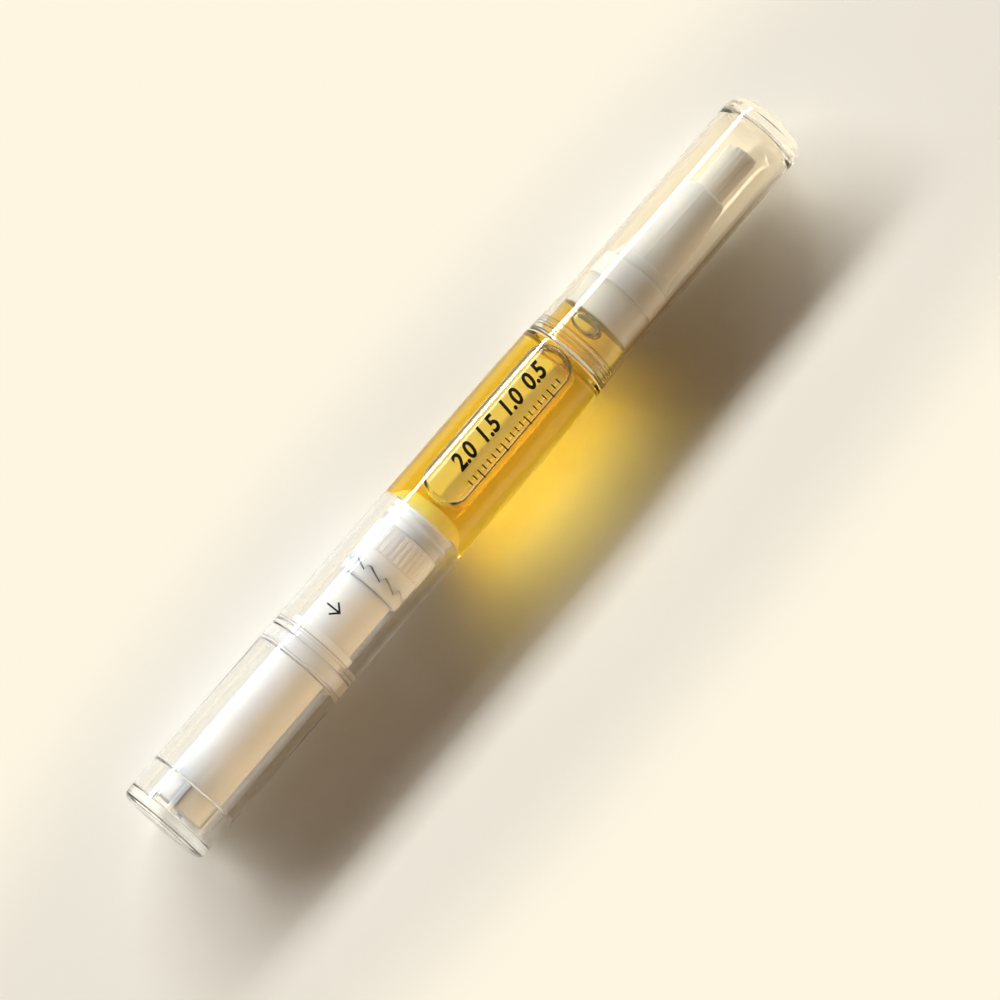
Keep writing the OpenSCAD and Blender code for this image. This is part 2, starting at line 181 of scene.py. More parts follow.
class Graph:
    """The node tree of a material, a light or the world."""

    def __init__(self, owner: bpy.types.Material | bpy.types.World | bpy.types.Light) -> None:
        """Empties the tree of its owner.

        Args:
            owner: The material, light or world.
        """
        owner.use_nodes = True
        self.tree = owner.node_tree
        self.tree.nodes.clear()

    def add(
        self,
        kind: str,
        settings: dict[str, Any] | None = None,
        sockets: dict[int | str, Any] | None = None,
        out: int | str = 0,
    ) -> Wire:
        """Makes any node.

        Args:
            kind: Type of the node.
            settings: Its properties, set before its sockets.
            sockets: Values or wires of its inputs, by name or index.
            out: Name or index of the output that is returned.

        Returns:
            The chosen output.
        """
        node = self.tree.nodes.new(kind)
        for name, value in (settings or {}).items():
            setattr(node, name, value)
        for name, value in (sockets or {}).items():
            if isinstance(value, Wire):
                self.tree.links.new(value.socket, node.inputs[name])
            else:
                node.inputs[name].default_value = value
        return Wire(self, node.outputs[out] if len(node.outputs) else None)

    def stretched(self, scale: tuple[float, float, float], shift: tuple[float, float, float]) -> Wire:
        """Scales object coordinates along each axis and then shifts them.

        Args:
            scale: Scale along each axis.
            shift: Shift along each axis, after scaling.

        Returns:
            The new coordinates.
        """
        coordinates = self.add("ShaderNodeTexCoord", out="Object")
        sockets = {"Vector": coordinates, "Location": shift, "Scale": scale}
        return self.add("ShaderNodeMapping", {"vector_type": "POINT"}, sockets)

    def noise(self, scale: tuple[float, float, float], detail: float = 2.0, shift: float = 0.0) -> Wire:
        """Returns noise from 0 to 1 with features per metre along each axis, shifted to vary it."""
        sockets = {"Vector": self.stretched(scale, (shift,) * 3), "Scale": 1.0, "Detail": detail}
        return self.add("ShaderNodeTexNoise", None, sockets)

    def blend(self, share: Wire, first: Any, second: Any) -> Wire:
        """Returns a colour that goes from the first to the second with share."""
        return self.add("ShaderNodeMix", {"data_type": "RGBA"}, {0: share, 6: first, 7: second}, out=2)

    def bump(self, height: Wire, distance: float, strength: float = 1.0) -> Wire:
        """Returns a normal bent by a height, with its full depth in millimetres."""
        sockets = {"Height": height, "Distance": distance * MM, "Strength": strength}
        return self.add("ShaderNodeBump", None, sockets)

    def layer(self, share: Wire, first: Wire, second: Wire) -> Wire:
        """Returns a shader that goes from the first to the second with share."""
        return self.add("ShaderNodeMixShader", None, {0: share, 1: first, 2: second})

    def close(self, kind: str, surface: Wire, volume: Wire | None = None) -> None:
        """Links the result to the output of the tree.

        Args:
            kind: Type of the output node.
            surface: The shader of the surface.
            volume: The shader of the volume, if there is one.
        """
        sockets = {"Surface": surface}
        if volume is not None:
            sockets["Volume"] = volume
        self.add(kind, None, sockets)


class Finish:
    """Base of the finishes, each of which makes one material."""

    name: str

    def wire(self, graph: Graph) -> tuple[Wire, Wire | None]:
        """Builds the shader of this finish.

        Args:
            graph: The empty tree of the material.

        Returns:
            The surface, and the volume if there is one.
        """
        raise NotImplementedError

    def material(self) -> bpy.types.Material:
        """Makes the material of this finish, if it isn't there yet.

        Returns:
            The material.
        """
        found = bpy.data.materials.get(self.name)
        if found is not None:
            return found
        made = bpy.data.materials.new(self.name)
        graph = Graph(made)
        graph.close("ShaderNodeOutputMaterial", *self.wire(graph))
        return made


@dataclass(frozen=True)
class ClearPlastic(Finish):
    """Clear polished moulding with faint flow lines, haze and hairline scratches.

    Attributes:
        name: Name of the material.
        pale: Tint of the cleanest places.
        deep: Tint of the haziest places.
        shade: What light keeps as it passes one surface on its way to what lies behind.
        polish: Share of the surface that isn't hazy.
    """

    name: str
    pale: Colour = rgb(0.992, 0.992, 0.985)
    deep: Colour = rgb(0.972, 0.972, 0.958)
    shade: Colour = rgb(0.5, 0.5, 0.5)
    polish: float = 0.99
    ior: float = 1.49

    def wire(self, graph: Graph) -> tuple[Wire, Wire | None]:
        """Builds glossy clear plastic that lets lamps through.

        Args:
            graph: The empty tree of the material.

        Returns:
            The surface, and no volume.
        """
        haze = graph.noise((90.0, 260.0, 260.0), 3.0)
        hairs = graph.noise((300.0, 9000.0, 9000.0), 2.0, 3.0)
        sockets = {
            "Base Color": graph.blend(haze.eased(0.35, 0.8), self.pale, self.deep),
            "Roughness": 0.02 * haze.eased(0.62, 0.8) + 0.04 * hairs.eased(0.72, 0.8),
            "IOR": self.ior,
            "Transmission Weight": self.polish,
        }
        clear = graph.add("ShaderNodeBsdfPrincipled", None, sockets)
        lamp = graph.add("ShaderNodeBsdfTransparent", None, {"Color": self.shade})
        shadow_ray = graph.add("ShaderNodeLightPath", out="Is Shadow Ray")
        return graph.layer(shadow_ray, clear, lamp), None


@dataclass(frozen=True)
class WettedWall(Finish):
    """Wall of the chamber where the oil lies on it, which then neither bends nor reflects light."""

    name: str = "wetted_wall"

    def wire(self, graph: Graph) -> tuple[Wire, Wire | None]:
        """Builds a surface that light passes unbent, and lamps straight through.

        Args:
            graph: The empty tree of the material.

        Returns:
            The surface, and no volume.
        """
        passed = graph.add("ShaderNodeBsdfRefraction", None, {"Roughness": 0.0, "IOR": 1.0})
        shadow_ray = graph.add("ShaderNodeLightPath", out="Is Shadow Ray")
        return graph.layer(shadow_ray, passed, graph.add("ShaderNodeBsdfTransparent")), None


@dataclass(frozen=True)
class MouldedPlastic(Finish):
    """White or milky moulding: a soft inner glow, flow shades and a fine satin grain.

    Attributes:
        name: Name of the material.
        pale: Colour of most of the piece.
        deep: Colour of the flow shades.
        roughness: Mean roughness.
        glow: Share of light that scatters inside.
        depth: How far light scatters inside, in millimetres.
        clear: Share of light that passes through.
    """

    name: str
    pale: Colour
    deep: Colour
    roughness: float = 0.5
    glow: float = 0.9
    depth: float = 3.2
    clear: float = 0.0

    def wire(self, graph: Graph) -> tuple[Wire, Wire | None]:
        """Builds satin plastic.

        Args:
            graph: The empty tree of the material.

        Returns:
            The surface, and no volume.
        """
        flow = graph.noise((40.0, 260.0, 260.0), 3.0, 2.0)
        grain = graph.noise((5200.0, 5200.0, 5200.0), 2.0, 5.0)
        sockets = {
            "Base Color": graph.blend(flow.eased(0.35, 0.75), self.pale, self.deep),
            "Roughness": self.roughness - 0.06 + 0.12 * flow + 0.05 * grain,
            "Subsurface Weight": self.glow,
            "Subsurface Radius": (1.0, 0.78, 0.54),
            "Subsurface Scale": self.depth * MM,
            "Specular IOR Level": 0.3,
            "Transmission Weight": self.clear,
            "Normal": graph.bump(grain + 1.5 * flow, 0.006, 0.6),
        }
        return graph.add("ShaderNodeBsdfPrincipled", None, sockets), None


@dataclass(frozen=True)
class BrushNylon(Finish):
    """White nylon fibres, each a little lighter or darker than the next."""

    name: str = "brush_nylon"
    pale: Colour = rgb(0.93, 0.93, 0.925)
    deep: Colour = rgb(0.89, 0.89, 0.88)

    def wire(self, graph: Graph) -> tuple[Wire, Wire | None]:
        """Builds soft fibre shading.

        Args:
            graph: The empty tree of the material.

        Returns:
            The surface, and no volume.
        """
        fibre = graph.noise((60.0, 7000.0, 7000.0), 2.0)
        along = graph.noise((2600.0, 5200.0, 5200.0), 1.0, 4.0)
        sockets = {
            "Base Color": graph.blend(fibre.eased(0.35, 0.7), self.pale, self.deep),
            "Roughness": 0.36 + 0.16 * fibre,
            "Normal": graph.bump(along, 0.008, 0.5),
        }
        return graph.add("ShaderNodeBsdfPrincipled", None, sockets), None


@dataclass(frozen=True)
class GoldenOil(Finish):
    """Clear golden oil. Its skin on a wall is unseen; its bubbles' skin bends light and has painted edge
    highlights.

    Attributes:
        keeps: Tint of light that has passed through.
        density: How fast light takes that tint.
        rim: Colour of the painted highlight on the edge of a bubble.
        painted_glint_share: How much that painted highlight hides what lies behind.
    """

    name: str = "golden_oil"
    keeps: Colour = rgb(0.967, 0.865, 0.06)
    density: float = 560.0
    rim: Colour = rgb(1.0, 0.98, 0.9)
    painted_glint_share: float = 0.3
    ior: float = 1.47
    mark: ClassVar[str] = "air_skin"

    def wire(self, graph: Graph) -> tuple[Wire, Wire | None]:
        """Builds a tinted volume with two kinds of skin.

        Args:
            graph: The empty tree of the material.

        Returns:
            The surface and the volume.
        """
        swirl = graph.noise((300.0, 500.0, 500.0), 2.0, 6.0)
        sockets = {
            "Base Color": rgb(1.0, 1.0, 1.0),
            "Roughness": 0.004 + 0.01 * swirl,
            "IOR": self.ior,
            "Transmission Weight": 1.0,
        }
        skin = graph.add("ShaderNodeBsdfPrincipled", None, sockets)
        passed = graph.add("ShaderNodeBsdfTransparent")
        shadow_ray = graph.add("ShaderNodeLightPath", out="Is Shadow Ray")
        air = graph.add("ShaderNodeAttribute", {"attribute_name": self.mark}, None, "Fac")
        facing = graph.add("ShaderNodeLayerWeight", None, {"Blend": 0.5}, "Facing")
        # Painted highlight: a white matt layer, strongest where a bubble's skin is seen edge-on, stands in
        # for the light that the skin reflects there.
        rim = facing.eased(0.35, 0.95) * self.painted_glint_share
        painted_glint = graph.add("ShaderNodeBsdfDiffuse", None, {"Color": self.rim})
        bubble = graph.layer(shadow_ray, graph.layer(rim, skin, painted_glint), passed)
        surface = graph.layer(air, graph.add("ShaderNodeBsdfTransparent"), bubble)
        volume = graph.add("ShaderNodeVolumeAbsorption", None, {"Color": self.keeps, "Density": self.density})
        return surface, volume


@dataclass(frozen=True)
class PrintInk(Finish):
    """Black pad-printed ink, a little uneven and slightly glossy."""

    name: str = "print_ink"
    deep: Colour = rgb(0.002, 0.002, 0.002)
    worn: Colour = rgb(0.01, 0.008, 0.007)

    def wire(self, graph: Graph) -> tuple[Wire, Wire | None]:
        """Builds thin black ink.

        Args:
            graph: The empty tree of the material.

        Returns:
            The surface, and no volume.
        """
        patch = graph.noise((1500.0, 1500.0, 1500.0), 3.0)
        sockets = {
            "Base Color": graph.blend(patch.eased(0.4, 0.75), self.deep, self.worn),
            "Roughness": 0.5 + 0.2 * patch,
            "Specular IOR Level": 0.1,
            "Normal": graph.bump(patch, 0.004, 0.6),
        }
        return graph.add("ShaderNodeBsdfPrincipled", None, sockets), None


EDGE_HAZE = ClearPlastic("edge_haze", polish=0.78)
# The shoulder's haze is real, but its golden colour is painted: it stands in for golden glints of light that
# come through the oil.
SHOULDER_GLINT_HAZE = ClearPlastic("shoulder_glint_haze", rgb(1.0, 0.93, 0.62), rgb(0.98, 0.9, 0.56), polish=0.6)
KNOB_CLEAR = ClearPlastic("knob_clear", polish=0.993)
BARREL_CLEAR = ClearPlastic("barrel_clear", polish=0.996)
# The cap's warm tan tint is painted shade: the cap itself is clear, and the tint stands in for the shaded
# floor seen through it.
CAP_CLEAR_SHADE_TINT = ClearPlastic("cap_clear", rgb(0.99, 0.948, 0.85), rgb(0.98, 0.935, 0.83))
WHITE = MouldedPlastic("white_satin", rgb(0.585, 0.605, 0.612), rgb(0.56, 0.58, 0.585), depth=6.0)
NOZZLE_WHITE = MouldedPlastic("nozzle_white", rgb(0.58, 0.61, 0.65), rgb(0.55, 0.58, 0.61), 0.46, 0.9, 4.5)
# The collar's faces in the neck are the same white moulding, painted much lighter: painted light that makes
# up for what the oil-filled neck keeps from them.
PLUG_WHITE_PAINTED_LIGHT = MouldedPlastic("plug_white_painted_light", rgb(0.95, 0.96, 0.965), rgb(0.93, 0.94, 0.94), 0.46, 0.5, 1.6)
MILKY = MouldedPlastic("milky_natural", rgb(0.84, 0.84, 0.8), rgb(0.78, 0.78, 0.72), 0.36, 0.8, 2.0, 0.0)


def turned(outline: Outline, steps: int = ROUND_STEPS) -> Mesh:
    """Rounds the corners of an outline and spins it round the axis of the pen.

    Args:
        outline: Corners as (station, radius) or (station, radius, rounding). It closes on itself unless it
            starts and ends on the axis.
        steps: Number of faces round the pen.

    Returns:
        A closed mesh whose faces point outwards.
    """
    mesh = bmesh.new()
    corners = [mesh.verts.new(place(values[0], math.pi, values[1])) for values in outline]
    closed = outline[0][1] > 0 or outline[-1][1] > 0
    ends = corners[1:] + corners[:1] if closed else corners[1:]
    for first, second in zip(corners, ends):
        mesh.edges.new((first, second))
    for corner, values in zip(corners, outline):
        if len(values) > 2:
            rounded(mesh, [corner], values[2], ROUNDING_SEGMENTS, "VERTICES")
    for edge in [e for e in mesh.edges if e.calc_length() > LONG_EDGE * MM]:
        share = HOLD_GAP * MM / edge.calc_length()
        half, _ = bmesh.utils.edge_split(edge, edge.verts[0], share)
        longer = max(half, edge, key=lambda e: e.calc_length())
        far = max(longer.verts, key=lambda v: min((v.co - n.co).length for n in linked(v)))
        bmesh.utils.edge_split(longer, far, share)
    bmesh.ops.spin(
        mesh,
        geom=everything(mesh),
        cent=place(0.0),
        axis=(1.0, 0.0, 0.0),
        angle=2 * math.pi,
        steps=steps,
        use_merge=True,
        use_duplicate=False,
    )
    return tidied(mesh)


def rounded(mesh: Mesh, parts: Sequence[Any], size: float, segments: int, affect: str) -> None:
    """Rounds corners or edges of a mesh.

    Args:
        mesh: The mesh.
        parts: Its vertices or edges.
        size: Size of the rounding.
        segments: Number of steps across it.
        affect: VERTICES or EDGES.
    """
    bmesh.ops.bevel(
        mesh,
        geom=parts,
        offset=size * MM,
        offset_type="OFFSET",
        segments=segments,
        profile=0.5,
        affect=affect,
        material=-1,
    )


def everything(mesh: Mesh) -> list[Any]:
    """Returns all vertices, edges and faces of a mesh."""
    return [*mesh.verts, *mesh.edges, *mesh.faces]


def linked(vert: bmesh.types.BMVert) -> list[bmesh.types.BMVert]:
    """Returns the neighbours of a vertex."""
    return [edge.other_vert(vert) for edge in vert.link_edges]


def tidied(mesh: Mesh) -> Mesh:
    """Cleans a closed mesh and turns its faces outwards.

    Args:
        mesh: The mesh, which loses doubles, faces without area and edges without faces.

    Returns:
        The same mesh.
    """
    bmesh.ops.remove_doubles(mesh, verts=list(mesh.verts), dist=SAME_PLACE)
    bmesh.ops.dissolve_degenerate(mesh, edges=list(mesh.edges), dist=SAME_PLACE)
    bmesh.ops.delete(mesh, geom=[e for e in mesh.edges if not e.link_faces], context="EDGES")
    mesh.normal_update()
    bmesh.ops.recalc_face_normals(mesh, faces=list(mesh.faces))
    return mesh


def reshaped(mesh: Mesh, shape: Shape) -> Mesh:
    """Moves every vertex along the pen and away from its axis.

    Args:
        mesh: The mesh.
        shape: Gives a vertex's new station and radius from its station, turn and radius.

    Returns:
        The same mesh.
    """
    for vert in mesh.verts:
        station, turn, radius = polar(vert.co)
        new_station, new_radius = shape(station, turn, radius)
        vert.co = place(new_station, turn, new_radius)
    return mesh


def joined(*meshes: Mesh) -> Mesh:
    """Puts several closed meshes into one.

    Args:
        meshes: The meshes, of which all but the first are freed.

    Returns:
        The first mesh.
    """
    first = meshes[0]
    for other in meshes[1:]:
        held = bpy.data.meshes.new("held")
        other.to_mesh(held)
        other.free()
        first.from_mesh(held)
        bpy.data.meshes.remove(held)
    return first


def shown(name: str, data: bpy.types.ID) -> bpy.types.Object:
    """Puts an object into the scene.

    Args:
        name: Name of the object.
        data: Its mesh, light, camera or curve.

    Returns:
        The object.
    """
    made = bpy.data.objects.new(name, data)
    bpy.context.scene.collection.objects.link(made)
    return made


@dataclass
class SubAssembly:
    """A group of pieces that ride on one body of the CAD model."""

    body: ClassVar[Body]

    def deliver(
        self,
        name: str,
        mesh: Mesh,
        finishes: Sequence[Finish],
        slot: Slot | None = None,
        replaces: Sequence[str] = (),
        part_of: Callable[[float, float, float], int] | None = None,
    ) -> bpy.types.Object:
        """Makes a finished piece from a mesh.

        Args:
            name: Name of the piece.
            mesh: Its mesh, which is freed.
            finishes: Its finishes, one for each material slot.
            slot: The record's slot of the piece. Not used.
            replaces: The CAD nodes that it stands for.
            part_of: Gives a face's finish from the station, turn and radius of its middle.

        Returns:
            The object of the piece.
        """
        data = bpy.data.meshes.new(name)
        if part_of is not None:
            for face in mesh.faces:
                face.material_index = part_of(*polar(face.calc_center_median()))
        for face in mesh.faces:
            face.smooth = True
        mesh.to_mesh(data)
        mesh.free()
        data.set_sharp_from_angle(angle=SHARP_ANGLE)
        for finish in finishes:
            data.materials.append(finish.material())
        piece = shown(name, data)
        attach(piece, self.body.value)
        if replaces:
            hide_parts(*replaces)
        LOG.info("%s rides on %s with %d faces", name, self.body.value, len(data.polygons))
        return piece


@dataclass(frozen=True)
class SawTeeth:
    """The saw teeth that the click ring and the nut share, one click each.

    Attributes:
        count: Number of teeth.
        height: Their height along the pen.
        root: Station of the roots of the teeth of the click ring.
        gap: Axial gap between the two rows.
        steep: Share of a tooth taken by its steep flank.
        phase: Turn of the first tooth, in degrees.
        lag: Turn of the nut's teeth against the click ring's, in degrees, which brings steep flanks together.
        inner: Inner radius of the crowns.
        outer: Outer radius of the crowns.
        steps: Number of faces round each row.
    """

    count: int = 12
    height: float = 1.1
    root: float = 47.3
    gap: float = 0.24
    steep: float = 0.07
    phase: float = -8.0
    lag: float = 0.36
    inner: float = 3.87
    outer: float = 5.25
    steps: int = 240

    def rise(self, turn: float) -> float:
        """Follows the saw line: each tooth slopes down and climbs back.

        Args:
            turn: Turn round the pen, in radians.

        Returns:
            Its height there.
        """
        share = (math.degrees(turn) - self.phase) * self.count / 360 % 1.0
        if share < 1 - self.steep:
            return self.height * (1 - share / (1 - self.steep))
        return self.height * (share - 1 + self.steep) / self.steep


@dataclass
class Knob(SubAssembly):
    """The clear knob with the white pieces that turn with it: hub, drive sleeve and click ring."""

    body: ClassVar[Body] = Body.KNOB
    radius: float = 7.4
    length: float = 33.3
    floor: float = 2.0
    gate_radius: float = 0.7
    gate_depth: float = 0.15
    seat_radius: float = 5.6
    seat_end: float = 7.4
    bore_radius: float = 5.95
    bead_radius: float = 5.65
    socket_radius: float = 6.45
    socket_rear: float = 31.2
    hub_rear: float = 3.3
    hub_radius: float = 4.4
    spigot_radius: float = 3.42
    spigot_front: float = 10.4
    key_count: int = 4
    key_at: float = 4.6
    key_radius: float = 4.2
    key_size: tuple[float, float, float] = (4.95, 0.8, 1.2)
    sleeve_rear: float = 7.46
    sleeve_front: float = 45.9
    sleeve_radius: float = 4.55
    spigot_bore: float = 3.48
    rod_bore: float = 2.56
    flange_rear: float = 35.2
    flange_front: float = 36.3
    flange_radius: float = 5.42
    hex_front: float = 47.0
    hex_radius: float = 3.67
    click_rear: float = 45.95
    click_radius: float = 5.3
    click_bore: float = 3.74
    teeth: SawTeeth = SawTeeth()

    def build(self) -> None:
        """Makes the pieces of the knob."""
        clear = [KNOB_CLEAR, EDGE_HAZE]
        self.deliver("knob_case", self.case(), clear, Slot.CLEAR, ["knob_shell"], self.hazy)
        self.deliver("hub_plug", self.hub(), [WHITE], Slot.WHITE, ["knob_hub"])
        self.deliver("sleeve_tube", self.sleeve(), [WHITE], Slot.WHITE, ["drive_sleeve"])
        self.deliver("click_crown", self.click_crown(), [WHITE], Slot.WHITE, ["click_ring"])

    def case(self) -> Mesh:
        """Makes the clear case of the knob.

        Returns:
            A thick closed end, the seat of the hub, the bore and the socket.
        """
        return turned([
            (self.gate_depth, 0.0),
            (self.gate_depth, self.gate_radius, 0.08),
            (0.0, self.gate_radius + self.gate_depth, 0.08),
            (0.0, self.radius, 1.0),
            (self.length, self.radius, 0.25),
            (self.length, self.socket_radius, 0.08),
            (self.socket_rear, self.socket_radius, 0.05),
            (self.socket_rear - 0.1, self.bead_radius, 0.05),
            (self.socket_rear - 0.4, self.bead_radius, 0.05),
            (self.socket_rear - 0.7, self.bore_radius, 0.08),
            (self.seat_end, self.bore_radius, 0.12),
            (self.seat_end - 0.3, self.seat_radius, 0.08),
            (self.floor, self.seat_radius, 0.35),
            (self.floor, 0.0),
        ])

    def hazy(self, station: float, turn: float, radius: float) -> int:
        """Tells the less polished faces of the steps and of the open end from the others.

        Args:
            station: Station of the middle of a face.
            turn: Its turn.
            radius: Its radius.

        Returns:
            1 for a less polished face and 0 for any other.
        """
        at_step = self.seat_end - 0.35 < station < self.seat_end + 0.05
        step = at_step and self.seat_radius - 0.05 < radius < self.bore_radius + 0.05
        mouth = station > self.socket_rear - 0.8 and radius < self.radius - 0.3
        return int(step or mouth)

    def hub(self) -> Mesh:
        """Makes the white hub.

        Returns:
            The hub with its spigot and the keys that grip the seat.
        """
        plug = turned([
            (self.hub_rear, 0.0),
            (self.hub_rear, self.hub_radius, 0.25),
            (self.seat_end, self.hub_radius, 0.12),
            (self.seat_end, self.spigot_radius, 0.05),
            (self.spigot_front, self.spigot_radius, 0.25),
            (self.spigot_front, 0.0),
        ])
        keys = bmesh.new()
        for index in range(self.key_count):
            key = bmesh.ops.create_cube(keys, size=1.0)["verts"]
            bmesh.ops.scale(keys, vec=Vector(self.key_size) * MM, verts=key)
            bmesh.ops.translate(keys, vec=place(self.key_at, math.pi, self.key_radius), verts=key)
            turn = Matrix.Rotation(index * 2 * math.pi / self.key_count, 3, "X")
            bmesh.ops.rotate(keys, cent=place(0.0), matrix=turn, verts=key)
        rounded(keys, list(keys.edges), 0.12, 2, "EDGES")
        return joined(plug, keys)

    def sleeve(self) -> Mesh:
        """Makes the drive sleeve.

        Returns:
            The sleeve with its flange, its stepped bore and its hexagonal spigot.
        """
        tube = turned([
            (self.sleeve_rear, self.spigot_bore, 0.05),
            (self.sleeve_rear, self.sleeve_radius, 0.12),
            (self.flange_rear, self.sleeve_radius, 0.08),
            (self.flange_rear, self.flange_radius, 0.1),
            (self.flange_front, self.flange_radius, 0.1),
            (self.flange_front, self.sleeve_radius, 0.08),
            (self.sleeve_front, self.sleeve_radius, 0.1),
            (self.sleeve_front, self.hex_radius),
            (self.hex_front, self.hex_radius),
            (self.hex_front, self.rod_bore, 0.1),
            (self.spigot_front + 0.1, self.rod_bore),
            (self.spigot_front + 0.1, self.spigot_bore),
        ])
        flat = math.radians(60)

        def hexagon(station: float, turn: float, radius: float) -> tuple[float, float]:
            """Flattens the spigot to six sides.

            Args:
                station: Station of a vertex.
                turn: Its turn.
                radius: Its radius.

            Returns:
                Its new station and radius.
            """
            if station > self.sleeve_front - 0.01 and abs(radius - self.hex_radius) < 0.03:
                radius *= math.cos(flat / 2) / math.cos((turn % flat) - flat / 2)
            return station, radius

        return reshaped(tube, hexagon)

    def click_crown(self) -> Mesh:
        """Makes the click ring.

        Returns:
            The ring, whose saw teeth point forwards.
        """
        teeth = self.teeth
        ring = turned([
            (self.click_rear, self.click_bore, 0.08),
            (self.click_rear, self.click_radius, 0.6),
            (teeth.root - 0.1, self.click_radius, 0.05),
            (teeth.root + 0.5, teeth.outer),
            (teeth.root + 0.5, teeth.inner),
            (teeth.root - 0.1, teeth.inner),
        ], teeth.steps)

        def saw(station: float, turn: float, radius: float) -> tuple[float, float]:
            """Raises the teeth."""
            return (teeth.root + teeth.rise(turn) if station > teeth.root + 0.4 else station), radius

        return reshaped(ring, saw)


@dataclass
class Nut(SubAssembly):
    """The white nut fixed in the barrel, with saw teeth behind and locking ribs in front."""

    body: ClassVar[Body] = Body.BARREL
    crown_front: float = 48.7
    radius: float = 5.3
    rod_bore: float = 2.56
    rib_rear: float = 50.65
    rib_front: float = 54.95
    front: float = 55.32
    rib_count: int = 40
    rib_low: float = 5.2
    rib_mean: float = 5.4
    rib_high: float = 5.45
    teeth: SawTeeth = SawTeeth()

    def build(self) -> None:
        """Makes the nut."""
        teeth = self.teeth
        tip = teeth.root + teeth.gap
        ring = turned([
            (tip, teeth.inner),
            (tip, teeth.outer),
            (self.crown_front, self.radius, 0.05),
            (self.rib_rear, self.radius, 0.08),
            (self.rib_rear + 0.15, self.rib_low),
            (self.rib_rear + 0.3, self.rib_mean),
            (self.rib_front - 0.15, self.rib_mean),
            (self.rib_front, self.rib_low),
            (self.front, self.rib_low, 0.08),
            (self.front, self.rod_bore),
            (self.crown_front, self.rod_bore),
            (self.crown_front, teeth.inner),
        ], teeth.steps)

        def shape(station: float, turn: float, radius: float) -> tuple[float, float]:
            """Cuts the teeth and raises the ribs.

            Args:
                station: Station of a vertex.
                turn: Its turn.
                radius: Its radius.

            Returns:
                Its new station and radius.
            """
            if station < tip + 0.01:
                return tip + teeth.rise(turn - math.radians(teeth.lag)), radius
            if radius > self.rib_mean - 0.05 and self.rib_rear + 0.2 < station < self.rib_front - 0.1:
                level = min(1.0, max(0.0, 0.5 + 0.8 * math.cos(turn * self.rib_count)))
                return station, self.rib_low + (self.rib_high - self.rib_low) * level
            return station, radius

        self.deliver("nut_body", reshaped(ring, shape), [WHITE], Slot.WHITE, ["thread_nut"])


@dataclass
class Screw(SubAssembly):
    """The threaded rod that the sleeve turns and the nut drives, with the ball that carries the piston."""

    body: ClassVar[Body] = Body.ROD
    tail: float = 15.2
    front: float = 55.1
    crest: float = 2.5
    depth: float = 0.6
    lead: float = 2.0
    flat_width: float = 3.6
    sides: int = 28
    slices_per_turn: int = 16
    ball_radius: float = 2.0
    ball_at: float = 58.0
    ball_steps: int = 10
    ball_sides: int = 64
    neck_radius: float = 1.3

    def build(self) -> None:
        """Makes the rod."""
        self.deliver("rod_thread", joined(self.thread(), self.ball()), [WHITE], Slot.WHITE, ["screw_rod"])

    def thread(self) -> Mesh:
        """Makes a round thread from an off-centre circle that turns as it runs forward.

        Returns:
            The thread, cut to two flats.
        """
        mesh = bmesh.new()
        radius = (self.crest - self.depth / 2) * MM
        bmesh.ops.create_circle(mesh, cap_ends=True, segments=self.sides, radius=radius)
        bmesh.ops.rotate(mesh, cent=(0, 0, 0), matrix=ALONG_X, verts=list(mesh.verts))
        start = place(self.tail) + Vector((0.0, 0.0, -self.depth / 2 * MM))
        bmesh.ops.translate(mesh, vec=start, verts=list(mesh.verts))
        count = round((self.front - self.tail) / self.lead * self.slices_per_turn)
        rise = Vector(((self.front - self.tail) / count * MM, 0.0, 0.0))
        step = Matrix.Rotation(2 * math.pi * rise.x / MM / self.lead, 3, "X")
        face = mesh.faces[:]
        for _ in range(count):
            made = bmesh.ops.extrude_face_region(mesh, geom=face)["geom"]
            verts = [g for g in made if isinstance(g, bmesh.types.BMVert)]
            bmesh.ops.delete(mesh, geom=face, context="FACES_ONLY")
            face = [g for g in made if isinstance(g, bmesh.types.BMFace)]
            bmesh.ops.rotate(mesh, cent=place(0.0), matrix=step, verts=verts)
            bmesh.ops.translate(mesh, vec=rise, verts=verts)
        bmesh.ops.holes_fill(mesh, edges=list(mesh.edges), sides=0)
        for side in (1.0, -1.0):
            cut = bmesh.ops.bisect_plane(
                mesh,
                geom=everything(mesh),
                plane_co=(0.0, side * self.flat_width / 2 * MM, 0.0),
                plane_no=(0.0, side, 0.0),
                clear_outer=True,
            )["geom_cut"]
            bmesh.ops.edgeloop_fill(mesh, edges=[g for g in cut if isinstance(g, bmesh.types.BMEdge)])
        bmesh.ops.triangulate(mesh, faces=[f for f in mesh.faces if len(f.verts) > 4])
        return tidied(mesh)

    def ball(self) -> Mesh:
        """Makes what carries the piston.

        Returns:
            The neck and the ball in front of the thread.
        """
        size = self.ball_radius
        bend = math.asin(self.neck_radius / size)
        arc = [bend + (math.pi - bend) * i / self.ball_steps for i in range(self.ball_steps)]
        round_end = [(self.ball_at - size * math.cos(a), size * math.sin(a)) for a in arc]
        neck = [(self.front - 0.1, 0.0), (self.front - 0.1, self.neck_radius)]
        return turned([*neck, *round_end, (self.ball_at + size, 0.0)], self.ball_sides)


